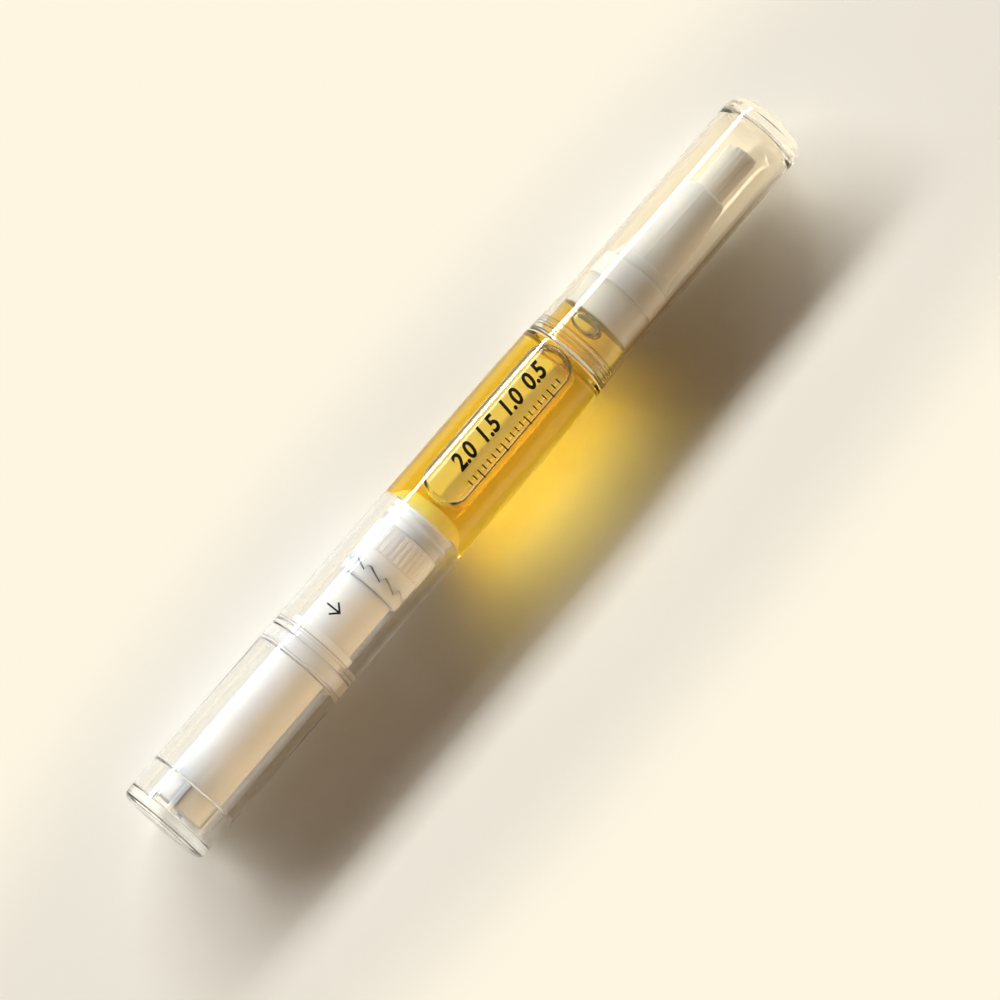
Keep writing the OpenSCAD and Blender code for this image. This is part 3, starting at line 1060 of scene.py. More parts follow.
@dataclass
class Plunger(SubAssembly):
    """The milky piston with two sealing lips, a nose and the socket for the ball.

    Attributes:
        rear: Station of its rear end.
        front: Station of its front end.
        seal: Station of the front of its front lip.
        land: Length of a lip, a groove and each slope between them.
        lip: Radius of the lips.
        groove: Radius of the grooves.
        nose_radius: Radius of its front face.
        nose: Corners of the nose behind that face.
        skirt: Inner radius of the hollow skirt.
        post: Radius of the post that holds the ball.
        hollow: Station of the bottom of the hollow round the post.
        mouth: Radius of the mouth of the socket.
        socket: Corners of the socket of the ball in front of its mouth.
    """

    body: ClassVar[Body] = Body.PISTON
    rear: float = 55.42
    front: float = 61.6
    seal: float = 59.0
    land: float = 0.4
    lip: float = 5.44
    groove: float = 4.85
    nose_radius: float = 2.95
    nose: Outline = ((61.0, 3.5, 0.4), (59.05, 4.5, 0.15))
    skirt: float = 4.25
    post: float = 2.7
    hollow: float = 58.0
    mouth: float = 1.5
    socket: Outline = ((57.0, 1.85, 0.1), (58.0, 2.08, 0.4), (59.1, 1.75, 0.4), (59.9, 1.0, 0.4), (60.1, 0.0))

    def build(self) -> None:
        """Makes the piston."""
        lip = self.lip
        groove = self.groove
        at = [self.seal - index * self.land for index in range(7)]
        plug = turned([
            (self.front, 0.0),
            (self.front, self.nose_radius, 0.35),
            *self.nose,
            (at[0], lip, 0.12),
            (at[1], lip, 0.1),
            (at[2], groove, 0.15),
            (at[3], groove, 0.15),
            (at[4], lip, 0.1),
            (at[5], lip, 0.1),
            (at[6], groove, 0.15),
            (self.rear, groove, 0.1),
            (self.rear, self.skirt, 0.1),
            (self.hollow, self.skirt, 0.2),
            (self.hollow, self.post, 0.2),
            (self.rear, self.post, 0.1),
            (self.rear, self.mouth, 0.1),
            (self.rear + 1.13, self.mouth, 0.1),
            *self.socket,
        ])
        self.deliver("piston_plug", plug, [MILKY], Slot.NATURAL, ["piston"])


@dataclass
class Reservoir(SubAssembly):
    """The clear barrel and the oil in it.

    Attributes:
        radius: Outer radius of the barrel.
        rear: Station of its rear edge, where the knob ends.
        draft: Corners where it narrows towards its shoulder.
        shoulder: Station of its shoulder, where the cap starts.
        front: Station of the front of its neck.
        spigot_rear: Station of the rear of the spigot that turns in the knob.
        bore: Radius of the chamber.
        bead: Radius of the inner bead that keeps the sleeve in.
        bead_at: Station of that bead's front.
        neck_bore: Radius of the bore of the neck.
        snap_radius: Radius of the snap beads of the neck.
        snaps: Stations of those beads.
        taper_rear: Station where the chamber starts to narrow.
        taper_front: Station where the bore of the neck starts.
        wet_rear: Station where the oil starts to lie on the wall.
        oil_nose: Corners of the oil round the nose of the piston.
        film: Gap between the oil and what holds it.
        bubble_turn: Turn of the air from straight down, in degrees.
        bubble_fullness: Power that gives the bubbles their shape: 1 for round, and less for fuller ends.
        bubbles: For each bubble in the chamber: rear, front, half width, half height, rise and further turn.
        neck_bubble: The same for the bubble in the neck.
        travel: How far the piston goes.
    """

    body: ClassVar[Body] = Body.BARREL
    radius: float = 7.4
    rear: float = 33.4
    draft: Outline = ((79.4, 7.4), (85.0, 7.35), (91.4, 7.2, 0.4))
    shoulder: float = 91.4
    front: float = 103.9
    spigot_rear: float = 31.4
    spigot_radius: float = 6.4
    bore: float = 5.5
    bead: float = 5.35
    bead_at: float = 35.1
    neck_bore: float = 4.6
    neck_radius: float = 5.85
    snap_radius: float = 5.95
    snaps: tuple[float, ...] = (92.925, 93.875)
    taper_rear: float = 88.3
    taper_front: float = 92.4
    wet_rear: float = 59.05
    oil_nose: Outline = ((61.63, 2.97), (61.06, 3.53), (59.1, 4.54))
    oil_front: float = 98.27
    film: float = 0.03
    bubble_turn: float = 177.0
    bubble_fullness: float = 0.5
    bubbles: Sequence[tuple[float, ...]] = (
        (62.0, 91.3, 3.35, 2.25, 3.1),
        (91.2, 92.0, 0.4, 0.4, 3.4, 18.0),
        (90.1, 90.6, 0.25, 0.25, 4.3, -30.0),
    )
    neck_bubble: tuple[float, ...] = (95.2, 98.1, 2.2, 1.45, 3.0)
    travel: float = 29.1

    def build(self) -> None:
        """Makes the barrel and its oil."""
        finishes = [BARREL_CLEAR, WettedWall(), EDGE_HAZE, SHOULDER_GLINT_HAZE]
        self.deliver("barrel_body", self.barrel(), finishes, Slot.CLEAR, ["barrel"], self.wetted)
        chamber = self.oil_piece("oil_chamber", self.chamber_outline(), self.bubbles, ["oil_fill"])
        anchor = tuple(place(self.taper_front))
        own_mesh(chamber)
        self.oil_piece("oil_neck", self.neck_outline(), [self.neck_bubble], [])

    def snap(self, station: float) -> Outline:
        """Draws one snap bead of the neck.

        Args:
            station: Station of its rear flank.

        Returns:
            Its corners.
        """
        return [
            (station - 0.05, self.neck_radius),
            (station + 0.03, self.snap_radius, 0.04),
            (station + 0.35, self.snap_radius, 0.04),
            (station + 0.43, self.neck_radius),
        ]

    def barrel(self) -> Mesh:
        """Makes the barrel.

        Returns:
            The barrel with its spigot, inner bead, chamber, neck and snap beads.
        """
        bore = self.bore
        return turned([
            (self.spigot_rear, bore, 0.15),
            (self.spigot_rear, self.spigot_radius, 0.15),
            (self.rear, self.spigot_radius, 0.05),
            (self.rear, self.radius, 0.25),
            *self.draft,
            (self.shoulder, self.neck_radius, 0.15),
            *(corner for station in self.snaps for corner in self.snap(station)),
            (self.front, self.neck_radius, 0.25),
            (self.front, self.neck_bore, 0.1),
            (self.taper_front, self.neck_bore, 0.6),
            (self.taper_rear, bore, 0.8),
            (self.wet_rear, bore),
            (self.bead_at, bore),
            (self.bead_at - 0.1, self.bead, 0.05),
            (self.bead_at - 0.4, self.bead, 0.05),
            (self.bead_at - 0.8, bore),
        ])

    def wetted(self, station: float, turn: float, radius: float) -> int:
        """Chooses the finish of a face.

        Args:
            station: Station of the middle of the face.
            turn: Its turn.
            radius: Its radius.

        Returns:
            1 where oil lies on the wall, 2 on a rim or the inner bead, 3 on the shoulder (painted golden
            glints) and 0 elsewhere.
        """
        inside = radius < self.radius - 0.1
        if self.wet_rear < station < self.front - 0.1 and radius < self.bore + 0.01:
            return 1
        if self.shoulder - 0.35 < station < self.shoulder + 0.05 and inside:
            return 3
        rim = station < self.rear + 0.05 or station > self.front - 0.2
        bead = self.bore - 0.2 < radius < self.bore - 0.01 and station < self.bead_at + 1.3
        return 2 * int((rim or bead) and inside)

    def chamber_outline(self) -> Outline:
        """Draws the oil between the nose of the piston and the neck.

        Returns:
            Its corners.
        """
        wall = self.bore - self.film
        end = self.taper_front - 0.02
        return [
            (self.oil_nose[0][0], 0.0),
            *self.oil_nose,
            (self.wet_rear, wall),
            (self.taper_rear, wall, 0.8),
            (end, self.neck_bore - self.film + 0.01),
            (end, 0.0),
        ]

    def neck_outline(self) -> Outline:
        """Draws the oil in the neck.

        Returns:
            Its corners.
        """
        wall = self.neck_bore - self.film
        ends = (self.taper_front, self.oil_front)
        return [(ends[0], 0.0), (ends[0], wall), (ends[1], wall), (ends[1], 0.0)]

    def bubble(
        self, rear: float, front: float, radius: float, height: float, rise: float, extra: float = 0.0
    ) -> Mesh:
        """Makes one air bubble with its faces towards the air.

        Args:
            rear: Station of its rear end.
            front: Station of its front end.
            radius: Half its width round the pen.
            height: Half its height out from the axis.
            rise: How far its middle lies above the axis.
            extra: Further turn round the axis, in degrees.

        Returns:
            A closed mesh turned inside out.
        """
        mesh = bmesh.new()
        bmesh.ops.create_uvsphere(mesh, u_segments=64, v_segments=40, radius=1.0)
        bmesh.ops.rotate(mesh, cent=(0, 0, 0), matrix=ALONG_X, verts=list(mesh.verts))
        angle = math.radians(self.bubble_turn + extra)
        wall = (self.bore if front < self.taper_front - 0.3 else self.neck_bore) - self.film
        cap = min(radius, (front - rear) / 2)
        for vert in mesh.verts:
            side = 0.0 if abs(vert.co.x) < 1e-6 else math.copysign(1.0, vert.co.x)
            level = math.hypot(vert.co.x, vert.co.y)
            wider = level ** (self.bubble_fullness - 1) if level > 1e-6 else 0.0
            station = (rear + front) / 2 + vert.co.x * wider * cap + side * ((front - rear) / 2 - cap)
            up = math.copysign(abs(vert.co.z) ** self.bubble_fullness, vert.co.z)
            out = Vector((vert.co.y * wider * radius, rise + up * height))
            out *= min(1.0, (wall - 0.04) / out.length)
            vert.co = place(station, angle + math.atan2(out.x, out.y), out.length)
        mesh.normal_update()
        bmesh.ops.recalc_face_normals(mesh, faces=list(mesh.faces))
        if mesh.calc_volume(signed=True) > 0:
            bmesh.ops.reverse_faces(mesh, faces=list(mesh.faces))
        return mesh

    def oil_piece(
        self,
        name: str,
        outline: Outline,
        bubbles: Sequence[tuple[float, ...]],
        replaces: Sequence[str],
    ) -> bpy.types.Object:
        """Makes one body of oil and marks the skin of its bubbles.

        Args:
            name: Name of the piece.
            outline: Corners of the oil.
            bubbles: The values of each bubble in it.
            replaces: The CAD nodes that it stands for.

        Returns:
            The object of the piece.
        """
        oil = turned(outline)
        skin = len(oil.faces)
        mesh = joined(oil, *(self.bubble(*values) for values in bubbles))
        piece = self.deliver(name, mesh, [GoldenOil()], Slot.OIL, replaces)
        mark = piece.data.attributes.new(GoldenOil.mark, "FLOAT", "FACE")
        mark.data.foreach_set("value", [float(i >= skin) for i in range(len(piece.data.polygons))])
        return piece


@dataclass
class Applicator(SubAssembly):
    """What lies under the cap: the plug with its collar, the cone, the feed tube, the bush and the brush."""

    body: ClassVar[Body] = Body.BARREL
    plug_rear: float = 98.3
    plug_radius: float = 4.58
    neck_front: float = 103.9
    rim_front: float = 108.0
    rim_radius: float = 5.85
    root_rear: float = 99.98
    root_radius: float = 3.22
    foot: Outline = ((108.02, 5.15, 0.15), (109.6, 4.85, 0.12))
    cone_rear: float = 109.9
    cone_front: float = 124.4
    cone_base: float = 4.55
    cone_tip: float = 3.325
    cone_steps: int = 240
    seam_width: float = 0.12
    seam_height: float = 0.07
    feed_bore: float = 0.5
    feed_radius: float = 0.9
    pipe_steps: int = 72
    brush_bore: float = 2.45
    ferrule_rear: float = 119.26
    slice_rear: float = 122.93
    brush_front: float = 133.0
    groove_count: int = 45
    fibre_count: int = 1500
    handful_size: int = 50
    fibre_radius: float = 0.055
    fibre_sides: int = 5

    def build(self) -> None:
        """Makes the pieces of the applicator."""
        # Where it sits in the neck, the collar takes the lighter copy of the white, which is painted light.
        finishes = [NOZZLE_WHITE, PLUG_WHITE_PAINTED_LIGHT]
        self.deliver("collar_plug", self.collar(), finishes, Slot.WHITE, ["nozzle_collar"], self.in_neck)
        self.deliver("cone_nozzle", self.cone(), [NOZZLE_WHITE], Slot.WHITE, ["nozzle_cone"])
        feed = self.pipe(self.feed_bore, self.feed_radius, self.plug_rear, self.slice_rear)
        self.deliver("feed_pipe", feed, [MILKY], Slot.NATURAL, ["feed_tube"])
        ends = (self.ferrule_rear, self.slice_rear - 0.02)
        bush = self.pipe(self.feed_radius + 0.02, self.brush_bore - 0.02, *ends)
        self.deliver("bush_ring", bush, [NOZZLE_WHITE], Slot.WHITE, ["brush_ferrule"])
        self.deliver("brush_fibres", self.fibres(), [BrushNylon()], Slot.NYLON, ["brush"])

    def in_neck(self, station: float, turn: float, radius: float) -> int:
        """Returns 1 for a face of the plug that sits in the neck, which takes the lighter painted-light
        white, and 0 elsewhere.
        """
        return int(station < self.neck_front and radius > self.root_radius + 0.1)

    def pipe(self, inner: float, outer: float, rear: float, front: float) -> Mesh:
        """Returns a plain tube with broken edges."""
        corners = [(rear, inner, 0.05), (rear, outer, 0.08), (front, outer, 0.08), (front, inner, 0.05)]
        return turned(corners, self.pipe_steps)

    def collar(self) -> Mesh:
        """Makes the collar.

        Returns:
            The plug of the neck and the flange that the cap slides over.
        """
        seat = self.neck_front + 0.01
        root = self.root_rear - 0.02
        return turned([
            (self.plug_rear, self.feed_radius + 0.03, 0.05),
            (self.plug_rear, self.plug_radius, 0.3),
            (seat, self.plug_radius),
            (seat, self.rim_radius, 0.12),
            (self.rim_front, self.rim_radius, 0.6),
            (self.rim_front, self.root_radius + 0.02, 0.1),
            (root, self.root_radius + 0.02, 0.1),
            (root, self.feed_radius + 0.03, 0.05),
        ])

    def cone(self) -> Mesh:
        """Makes the cone.

        Returns:
            The cone with its stepped foot, rounded tip, bore and mould seam.
        """
        bore = self.feed_radius + 0.04
        cone = turned([
            (self.root_rear, bore, 0.05),
            (self.root_rear, self.root_radius, 0.15),
            (self.rim_front, self.root_radius, 0.05),
            *self.foot,
            (self.cone_rear, self.cone_base, 0.05),
            (self.cone_front, self.cone_tip, 0.45),
            (self.cone_front, self.brush_bore, 0.15),
            (self.ferrule_rear, self.brush_bore, 0.05),
            (self.ferrule_rear, bore, 0.05),
        ], self.cone_steps)

        def seam(station: float, turn: float, radius: float) -> tuple[float, float]:
            """Raises the thin line where the halves of the mould met, above and below.

            Args:
                station: Station of a vertex.
                turn: Its turn.
                radius: Its radius.

            Returns:
                Its new station and radius.
            """
            along = self.cone_rear - 0.1 < station < self.cone_front - 0.3
            across = radius > self.root_radius + 0.08 and abs(math.sin(turn)) * radius < self.seam_width / 2
            return station, radius + self.seam_height * (along and across)

        return reshaped(cone, seam)

    def fibres(self) -> Mesh:
        """Makes the brush.

        Returns:
            Fine fibres that lean a little outwards and end in a soft, slightly slanted dome.
        """
        draw = random.Random(7)
        handfuls = [self.handful(draw, first) for first in range(0, self.fibre_count, self.handful_size)]
        return joined(self.bundle(), *handfuls)

    def bundle(self) -> Mesh:
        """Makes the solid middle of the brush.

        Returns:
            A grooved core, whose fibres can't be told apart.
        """
        rear = self.slice_rear + 0.1
        front = self.brush_front - 0.8
        middle = turned([
            (rear, 0.0),
            (rear, self.brush_bore - 0.3, 0.2),
            (front - 0.3, self.brush_bore - 0.2, 0.6),
            (front, 1.2, 0.5),
            (front + 0.15, 0.0),
        ], 4 * self.groove_count)

        def grooved(station: float, turn: float, radius: float) -> tuple[float, float]:
            """Grooves the sides as the fibres do."""
            return station, radius * (1 + 0.02 * math.cos(self.groove_count * turn))

        return reshaped(middle, grooved)

    def handful(self, draw: random.Random, first: int) -> Mesh:
        """Makes some of the fibres.

        Args:
            draw: Where their small differences come from.
            first: Number of the first of them.

        Returns:
            Their mesh.
        """
        mesh = bmesh.new()
        golden = math.pi * (3 - math.sqrt(5))
        rear = self.slice_rear + 0.05
        for index in range(first, min(first + self.handful_size, self.fibre_count)):
            share = math.sqrt((index + 0.5) / self.fibre_count)
            turn = index * golden
            root = share * (self.brush_bore - 0.1)
            tip = share * (self.brush_bore + 0.08) + draw.uniform(-0.05, 0.05)
            dome = 0.45 * share**3 + 0.25 * share * math.sin(turn)
            front = self.brush_front - dome + draw.uniform(-0.14, 0.06)
            fibre = bmesh.ops.create_cone(
                mesh,
                cap_ends=True,
                cap_tris=False,
                segments=self.fibre_sides,
                radius1=self.fibre_radius * MM,
                radius2=self.fibre_radius * 0.7 * MM,
                depth=(front - rear) * MM,
            )["verts"]
            bmesh.ops.rotate(mesh, cent=(0, 0, 0), matrix=ALONG_X, verts=fibre)
            bmesh.ops.translate(mesh, vec=place((rear + front) / 2, turn, root), verts=fibre)
            lean = place(0.0, turn + draw.uniform(-0.05, 0.05), tip) - place(0.0, turn, root)
            front_verts = [v for v in fibre if v.co.x > place((rear + front) / 2).x]
            bmesh.ops.translate(mesh, vec=lean, verts=front_verts)
        return mesh


@dataclass
class Cap(SubAssembly):
    """The clear cap with its flared mouth, snap grooves, thick rounded end and gate mark.

    Attributes:
        mouth: Station of its mouth.
        front: Station of its closed end.
        floor: Station of the inner face of that end.
        radius: Its outer radius.
        bore: Radius of its bore.
        groove: Radius of the snap grooves.
        grooves: Stations of the front and rear edge of each groove.
        mouth_bore: Radius of the bevelled edge inside the mouth.
        mouth_radius: Outer radius of the mouth.
        flare: Corners where the mouth narrows to the outer radius.
        gate_radius: Radius of the gate mark in the closed end.
        gate_depth: Depth of that mark.
    """

    body: ClassVar[Body] = Body.CAP
    mouth: float = 91.5
    front: float = 139.5
    floor: float = 136.7
    radius: float = 6.75
    bore: float = 6.0
    groove: float = 6.15
    grooves: tuple[tuple[float, float], ...] = ((94.35, 93.78), (93.42, 92.83))
    mouth_bore: float = 6.6
    mouth_radius: float = 7.1
    flare: Outline = ((95.5, 6.93, 1.0), (101.0, 6.75, 1.5))
    gate_radius: float = 0.62
    gate_depth: float = 0.12

    def build(self) -> None:
        """Makes the cap."""
        gate = self.front - self.gate_depth
        case = turned([
            (self.mouth, self.mouth_bore, 0.08),
            (self.mouth, self.mouth_radius, 0.25),
            *self.flare,
            (self.front, self.radius, 2.8),
            (self.front, self.gate_radius + 0.13, 0.06),
            (gate, self.gate_radius, 0.05),
            (gate, 0.0),
            (self.floor, 0.0),
            (self.floor, self.bore, 1.4),
            *(corner for ends in self.grooves for corner in self.snap_groove(*ends)),
            (self.mouth + 0.6, self.bore, 0.15),
        ])
        self.deliver("cap_case", case, [CAP_CLEAR_SHADE_TINT], Slot.CLEAR, ["cap"])

    def snap_groove(self, front: float, rear: float) -> Outline:
        """Draws one groove, which takes a snap bead of the neck.

        Args:
            front: Station of its front edge.
            rear: Station of its rear edge.

        Returns:
            Its corners.
        """
        slope = 0.08
        return [
            (front, self.bore),
            (front - slope, self.groove, 0.04),
            (rear + slope, self.groove, 0.04),
            (rear, self.bore),
        ]


@dataclass
class Prints(SubAssembly):
    """Black marks on the barrel: the arrow that shows how the knob turns, and a plain scale in millilitres.

    Attributes:
        skin: Corners of the barrel, which the ink follows.
        sink: How deep the ink reaches into the barrel.
        thickness: Thickness of the ink.
        band: Height of the bands that a flat shape is cut into before it is bent.
        arrow_at: Station of the arrow.
        arrow_turn: Its turn round the pen, in degrees from straight down.
        arrow_half: Its outline on one side, from the top of its shaft to its point.
        tick_long: Which of five ticks is the long one, at a number.
        size: Size of the numbers.
        slant: How much they lean forwards.
        weight: How much thicker than the font their strokes are.
        narrow: Their width as a share of the font's.
        labels: Label and station of each number.
    """

    body: ClassVar[Body] = Body.BARREL
    skin: Outline = Reservoir.draft
    sink: float = 0.004
    thickness: float = 0.018
    band: float = 0.22
    arrow_at: float = 40.0
    arrow_turn: float = 178.3
    arrow_half: Outline = ((0.14, 1.32), (0.14, -0.72), (1.02, 0.16), (1.22, -0.04), (0.0, -1.32))
    tick_turn: float = 199.0
    tick_pitch: float = 1.05
    tick_rear: float = 67.1
    tick_count: int = 20
    tick_width: float = 0.2
    tick_length: float = 0.95
    tick_long: int = 2
    tick_long_length: float = 1.7
    label_turn: float = 178.0
    size: float = 3.9
    slant: float = 0.22
    weight: float = 0.11
    narrow: float = 0.82
    labels: tuple[tuple[str, float], ...] = (("2.0", 69.4), ("1.5", 74.65), ("1.0", 79.9), ("0.5", 85.15))

    def build(self) -> None:
        """Makes the prints."""
        self.deliver("print_arrow", self.wrapped(self.arrow(), self.arrow_at, self.arrow_turn), [PrintInk()])
        numbers = [self.wrapped(self.number(text), at, self.label_turn) for text, at in self.labels]
        self.deliver("print_numbers", joined(*numbers), [PrintInk()])
        self.deliver("print_ticks", self.wrapped(self.ticks(), self.tick_rear, self.tick_turn), [PrintInk()])

    def wrapped(self, flat: Mesh, station: float, turn: float) -> Mesh:
        """Lays a flat shape, drawn in millimetres with its top towards +Y, round the barrel.

        Args:
            flat: The shape, with X along the pen.
            station: Where its origin goes along the pen.
            turn: Where its origin goes round the pen, in degrees from straight down.

        Returns:
            A closed, thin shape.
        """
        heights = [v.co.y for v in flat.verts]
        level = min(heights)
        while level < max(heights):
            level += self.band
            bmesh.ops.bisect_plane(flat, geom=everything(flat), plane_co=(0, level, 0), plane_no=(0, 1, 0))
        bmesh.ops.triangulate(flat, faces=list(flat.faces))
        bmesh.ops.remove_doubles(flat, verts=list(flat.verts), dist=1e-4)
        for vert in flat.verts:
            radius = self.level(station + vert.co.x)
            vert.co = place(station + vert.co.x, math.radians(turn) - vert.co.y / radius, radius)
        flat.normal_update()
        if sum(f.normal.dot(f.calc_center_median() - place(station)) for f in flat.faces) < 0:
            bmesh.ops.reverse_faces(flat, faces=list(flat.faces))
        bmesh.ops.solidify(flat, geom=list(flat.faces), thickness=-self.thickness * MM)
        if flat.calc_volume(signed=True) < 0:
            bmesh.ops.reverse_faces(flat, faces=list(flat.faces))
        return flat

    def level(self, station: float) -> float:
        """Follows the skin of the barrel under the ink.

        Args:
            station: Where along the pen.

        Returns:
            The radius of the underside of the ink there.
        """
        rear, front = self.skin[:2] if station < self.skin[1][0] else self.skin[1:]
        share = min(1.0, max(0.0, (station - rear[0]) / (front[0] - rear[0])))
        return rear[1] + share * (front[1] - rear[1]) - self.sink

    def arrow(self) -> Mesh:
        """Draws the arrow.

        Returns:
            A flat arrow that points to -Y.
        """
        mesh = bmesh.new()
        left = [(-x, y) for x, y in reversed(self.arrow_half[:-1])]
        mesh.faces.new([mesh.verts.new((x, y, 0.0)) for x, y in [*self.arrow_half, *left]])
        bmesh.ops.triangulate(mesh, faces=list(mesh.faces))
        return mesh

    def number(self, text: str) -> Mesh:
        """Makes one number.

        Args:
            text: The number.

        Returns:
            A flat, bold and slanted shape centred on its origin.
        """
        curve = bpy.data.curves.new("number", "FONT")
        curve.body = text
        curve.size = self.size
        curve.shear = self.slant
        curve.offset = self.weight
        curve.align_x = "CENTER"
        curve.align_y = "CENTER"
        curve.resolution_u = 4
        holder = shown("number", curve)
        bpy.context.view_layer.update()
        outline = bpy.data.meshes.new_from_object(holder.evaluated_get(bpy.context.evaluated_depsgraph_get()))
        bpy.data.objects.remove(holder)
        bpy.data.curves.remove(curve)
        mesh = bmesh.new()
        mesh.from_mesh(outline)
        bpy.data.meshes.remove(outline)
        bmesh.ops.scale(mesh, vec=(self.narrow, 1.0, 1.0), verts=list(mesh.verts))
        return mesh

    def ticks(self) -> Mesh:
        """Draws the scale.

        Returns:
            A flat row of ticks, a tenth of a millilitre each, longer at the numbers.
        """
        mesh = bmesh.new()
        for index in range(self.tick_count):
            length = self.tick_long_length if index % 5 == self.tick_long else self.tick_length
            tick = bmesh.ops.create_grid(mesh, x_segments=1, y_segments=1, size=0.5)["verts"]
            bmesh.ops.scale(mesh, vec=(self.tick_width, length, 1.0), verts=tick)
            bmesh.ops.translate(mesh, vec=(index * self.tick_pitch, -length / 2, 0.0), verts=tick)
        return mesh


@dataclass(frozen=True)
class Lamp:
    """A soft light whose long side runs along the pen.

    Attributes:
        turn: Its direction round the pen, in degrees from the horizon on the +Y side.
        power: Its power, in watts.
        lean: How far it leans towards the front of the pen, in degrees.
        distance: Its distance from the pen, in metres.
        size: Its length along the pen and its width, in metres.
        tint: Its colour.
    """

    turn: float
    power: float
    lean: float = 0.0
    distance: float = 1.0
    size: tuple[float, float] = (1.6, 0.045)
    tint: Colour = rgb(1.0, 0.66, 0.33)


def aimed(at: Vector, right: Vector, back: Vector) -> Matrix:
    """Places a light or a camera.

    Args:
        at: The point where it is.
        right: Direction to its right.
        back: Direction away from what it looks at.

    Returns:
        Its matrix.
    """
    return Matrix.Translation(at) @ Matrix((right, back.cross(right), back)).transposed().to_4x4()


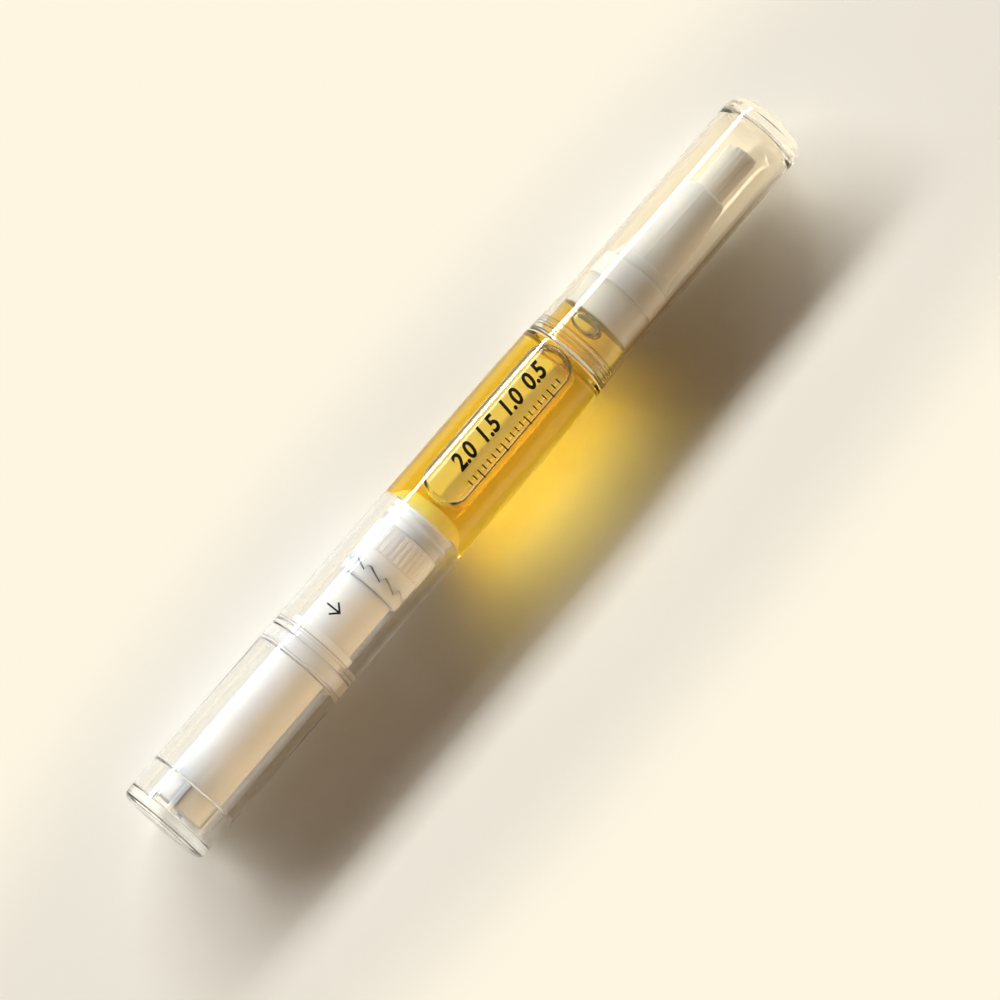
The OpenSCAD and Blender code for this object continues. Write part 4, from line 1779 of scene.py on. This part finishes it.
@dataclass
class Studio:
    """The pale floor, the soft lights and the camera.

    Attributes:
        paper: Colour of the floor and of the background.
        paper_pale: Colour of the floor near the pen, where light falls on it.
        paper_deep: The same in the darker patches of the paper.
        floor_size: Half the side of the floor, in metres.
        floor_gap: How far the floor lies below the pen.
        reach: Scale of the lit part of the floor along each axis, for each metre.
        reach_shift: How far that part is shifted.
        key: The main light.
        fill: The warm light from the other side.
        inner_fill: What the pieces which always lie behind clear walls get on top of it.
        inner: Names of those pieces.
        sky: Strength of the even light from all round.
        sky_tint: Its colour.
        gloss: How much of the paper shows in reflections.
        bent_share: How much of the light that clear pieces bend goes on to matt ones; the rest goes straight.
    """

    paper: Colour = rgb(1.0, 0.922, 0.759)
    paper_pale: Colour = rgb(0.985, 0.965, 0.87)
    paper_deep: Colour = rgb(0.975, 0.955, 0.855)
    floor_size: float = 6.0
    floor_gap: float = 0.05
    reach: tuple[float, float, float] = (5.0, 26.0, 1.0)
    reach_shift: tuple[float, float, float] = (0.0, 0.3, 0.0)
    key: Lamp = Lamp(33.0, 111.0, 4.0, 2.4, (4.0, 0.32), rgb(0.985, 0.99, 1.0))
    fill: Lamp = Lamp(179.0, 24.0)
    inner_fill: Lamp = Lamp(138.0, 30.0)
    inner: tuple[str, ...] = ("hub_plug", "sleeve_tube", "click_crown", "nut_body", "rod_thread")
    sky: float = 0.06
    sky_tint: Colour = rgb(1.0, 0.55, 0.22)
    gloss: float = 0.35
    bent_share: float = 0.78
    camera_at: tuple[float, float, float] = (-0.11026, -0.15819, 0.7211)
    camera_back: tuple[float, float, float] = (-0.1483, -0.2057, 0.9673)
    camera_up: tuple[float, float, float] = (0.7499, 0.6143, 0.2456)
    lens: float = 180.0

    def build(self) -> None:
        """Makes the whole stage."""
        self.world()
        self.floor()
        self.lit("key_light", self.key)
        self.unseen("fill_light", self.fill)
        self.camera()

    def unseen(self, name: str, lamp: Lamp) -> bpy.types.Object:
        """Makes a light that shows in no clear wall.

        Args:
            name: Name of the light.
            lamp: What it is like.

        Returns:
            The object of the light.
        """
        made = self.lit(name, lamp)
        made.visible_glossy = False
        made.visible_transmission = False
        return made

    def light_inner(self) -> None:
        """Makes up for the fill light that the clear walls take from the pieces behind them."""
        receivers = bpy.data.collections.new("inner_pieces")
        for name in self.inner:
            receivers.objects.link(bpy.data.objects[name])
        self.unseen("inner_fill_light", self.inner_fill).light_linking.receiver_collection = receivers

    def seen(self, graph: Graph) -> Wire:
        """Tells the rays that show the paper from those that light the scene.

        Args:
            graph: The tree that asks.

        Returns:
            1 for rays from the camera and through clear pieces, the gloss for glossy ones, 0 for the rest.
        """
        kinds = ("Camera", "Glossy", "Transmission")
        camera, glossy, passed = (graph.add("ShaderNodeLightPath", out=f"Is {kind} Ray") for kind in kinds)
        return camera.largest(glossy * self.gloss).largest(passed) * (1 - self.scattered(graph))

    def scattered(self, graph: Graph) -> Wire:
        """Returns 1 for rays that a matt surface has sent on, and 0 for the rest."""
        return graph.add("ShaderNodeLightPath", out="Diffuse Depth").eased(0.0, 1.0)

    def world(self) -> None:
        """Makes an even sky, which shows as the colour of the paper."""
        made = bpy.data.worlds.new("studio")
        bpy.context.scene.world = made
        graph = Graph(made)
        even = graph.add("ShaderNodeBackground", None, {"Color": self.sky_tint, "Strength": self.sky})
        paper = graph.add("ShaderNodeBackground", None, {"Color": self.paper, "Strength": 1.0})
        graph.close("ShaderNodeOutputWorld", graph.layer(self.seen(graph), even, paper))

    def floor(self) -> None:
        """Makes the floor, which takes shadows near the pen and fades into the background far from it."""
        mesh = bmesh.new()
        bmesh.ops.create_grid(mesh, x_segments=4, y_segments=4, size=self.floor_size)
        bmesh.ops.translate(mesh, vec=(0.0, 0.0, -self.floor_gap * MM), verts=list(mesh.verts))
        data = bpy.data.meshes.new("floor")
        mesh.to_mesh(data)
        mesh.free()
        material = bpy.data.materials.new("pale_paper")
        graph = Graph(material)
        colour = graph.blend(graph.noise((35.0, 35.0, 35.0), 3.0), self.paper_pale, self.paper_deep)
        near = graph.add("ShaderNodeBsdfDiffuse", None, {"Color": colour})
        far = graph.add("ShaderNodeEmission", None, {"Color": self.paper, "Strength": 1.0})
        spread = graph.stretched(self.reach, self.reach_shift)
        away = graph.add("ShaderNodeVectorMath", {"operation": "LENGTH"}, {0: spread}, "Value")
        share = away.eased(0.6, 1.1) * self.seen(graph)
        graph.close("ShaderNodeOutputMaterial", graph.layer(share, near, far))
        data.materials.append(material)
        shown("floor", data)

    def lit(self, name: str, lamp: Lamp) -> bpy.types.Object:
        """Makes a soft light.

        Args:
            name: Name of the light.
            lamp: What it is like.

        Returns:
            The object of the light.
        """
        data = bpy.data.lights.new(name, "AREA")
        data.shape = "RECTANGLE"
        data.size, data.size_y = lamp.size
        data.energy = lamp.power
        data.use_nodes = True
        graph = Graph(data)
        bent = graph.add("ShaderNodeLightPath", out="Is Transmission Ray") * self.scattered(graph)
        strength = 1 - (1 - self.bent_share) * bent
        glow = graph.add("ShaderNodeEmission", None, {"Color": lamp.tint, "Strength": strength})
        graph.close("ShaderNodeOutputLight", glow)
        turn = math.radians(lamp.turn)
        back = Vector((math.tan(math.radians(lamp.lean)), math.cos(turn), math.sin(turn))).normalized()
        right = (Vector((1.0, 0.0, 0.0)) - back * back.x).normalized()
        middle = Vector((0.0, 0.0, AXIS_HEIGHT * MM))
        made = shown(name, data)
        made.matrix_world = aimed(middle + back * lamp.distance, right, back)
        return made

    def camera(self) -> None:
        """Makes the camera at the angle of the photograph."""
        data = bpy.data.cameras.new("camera")
        data.lens = self.lens
        data.sensor_width = 36.0
        data.clip_start = 0.01
        data.clip_end = 20.0
        back = Vector(self.camera_back).normalized()
        right = Vector(self.camera_up).cross(back).normalized()
        camera = shown("camera", data)
        camera.matrix_world = aimed(Vector(self.camera_at), right, back)
        bpy.context.scene.camera = camera
        bpy.context.scene.view_settings.view_transform = "Standard"


def main() -> None:
    """Builds the studio and the pen."""
    logging.basicConfig(level=logging.INFO, format="%(name)s: %(message)s")
    studio = Studio()
    studio.build()
    for group in (Knob(), Nut(), Screw(), Plunger(), Reservoir(), Applicator(), Cap(), Prints()):
        group.build()
    studio.light_inner()


if __name__ == "__main__":
    main()
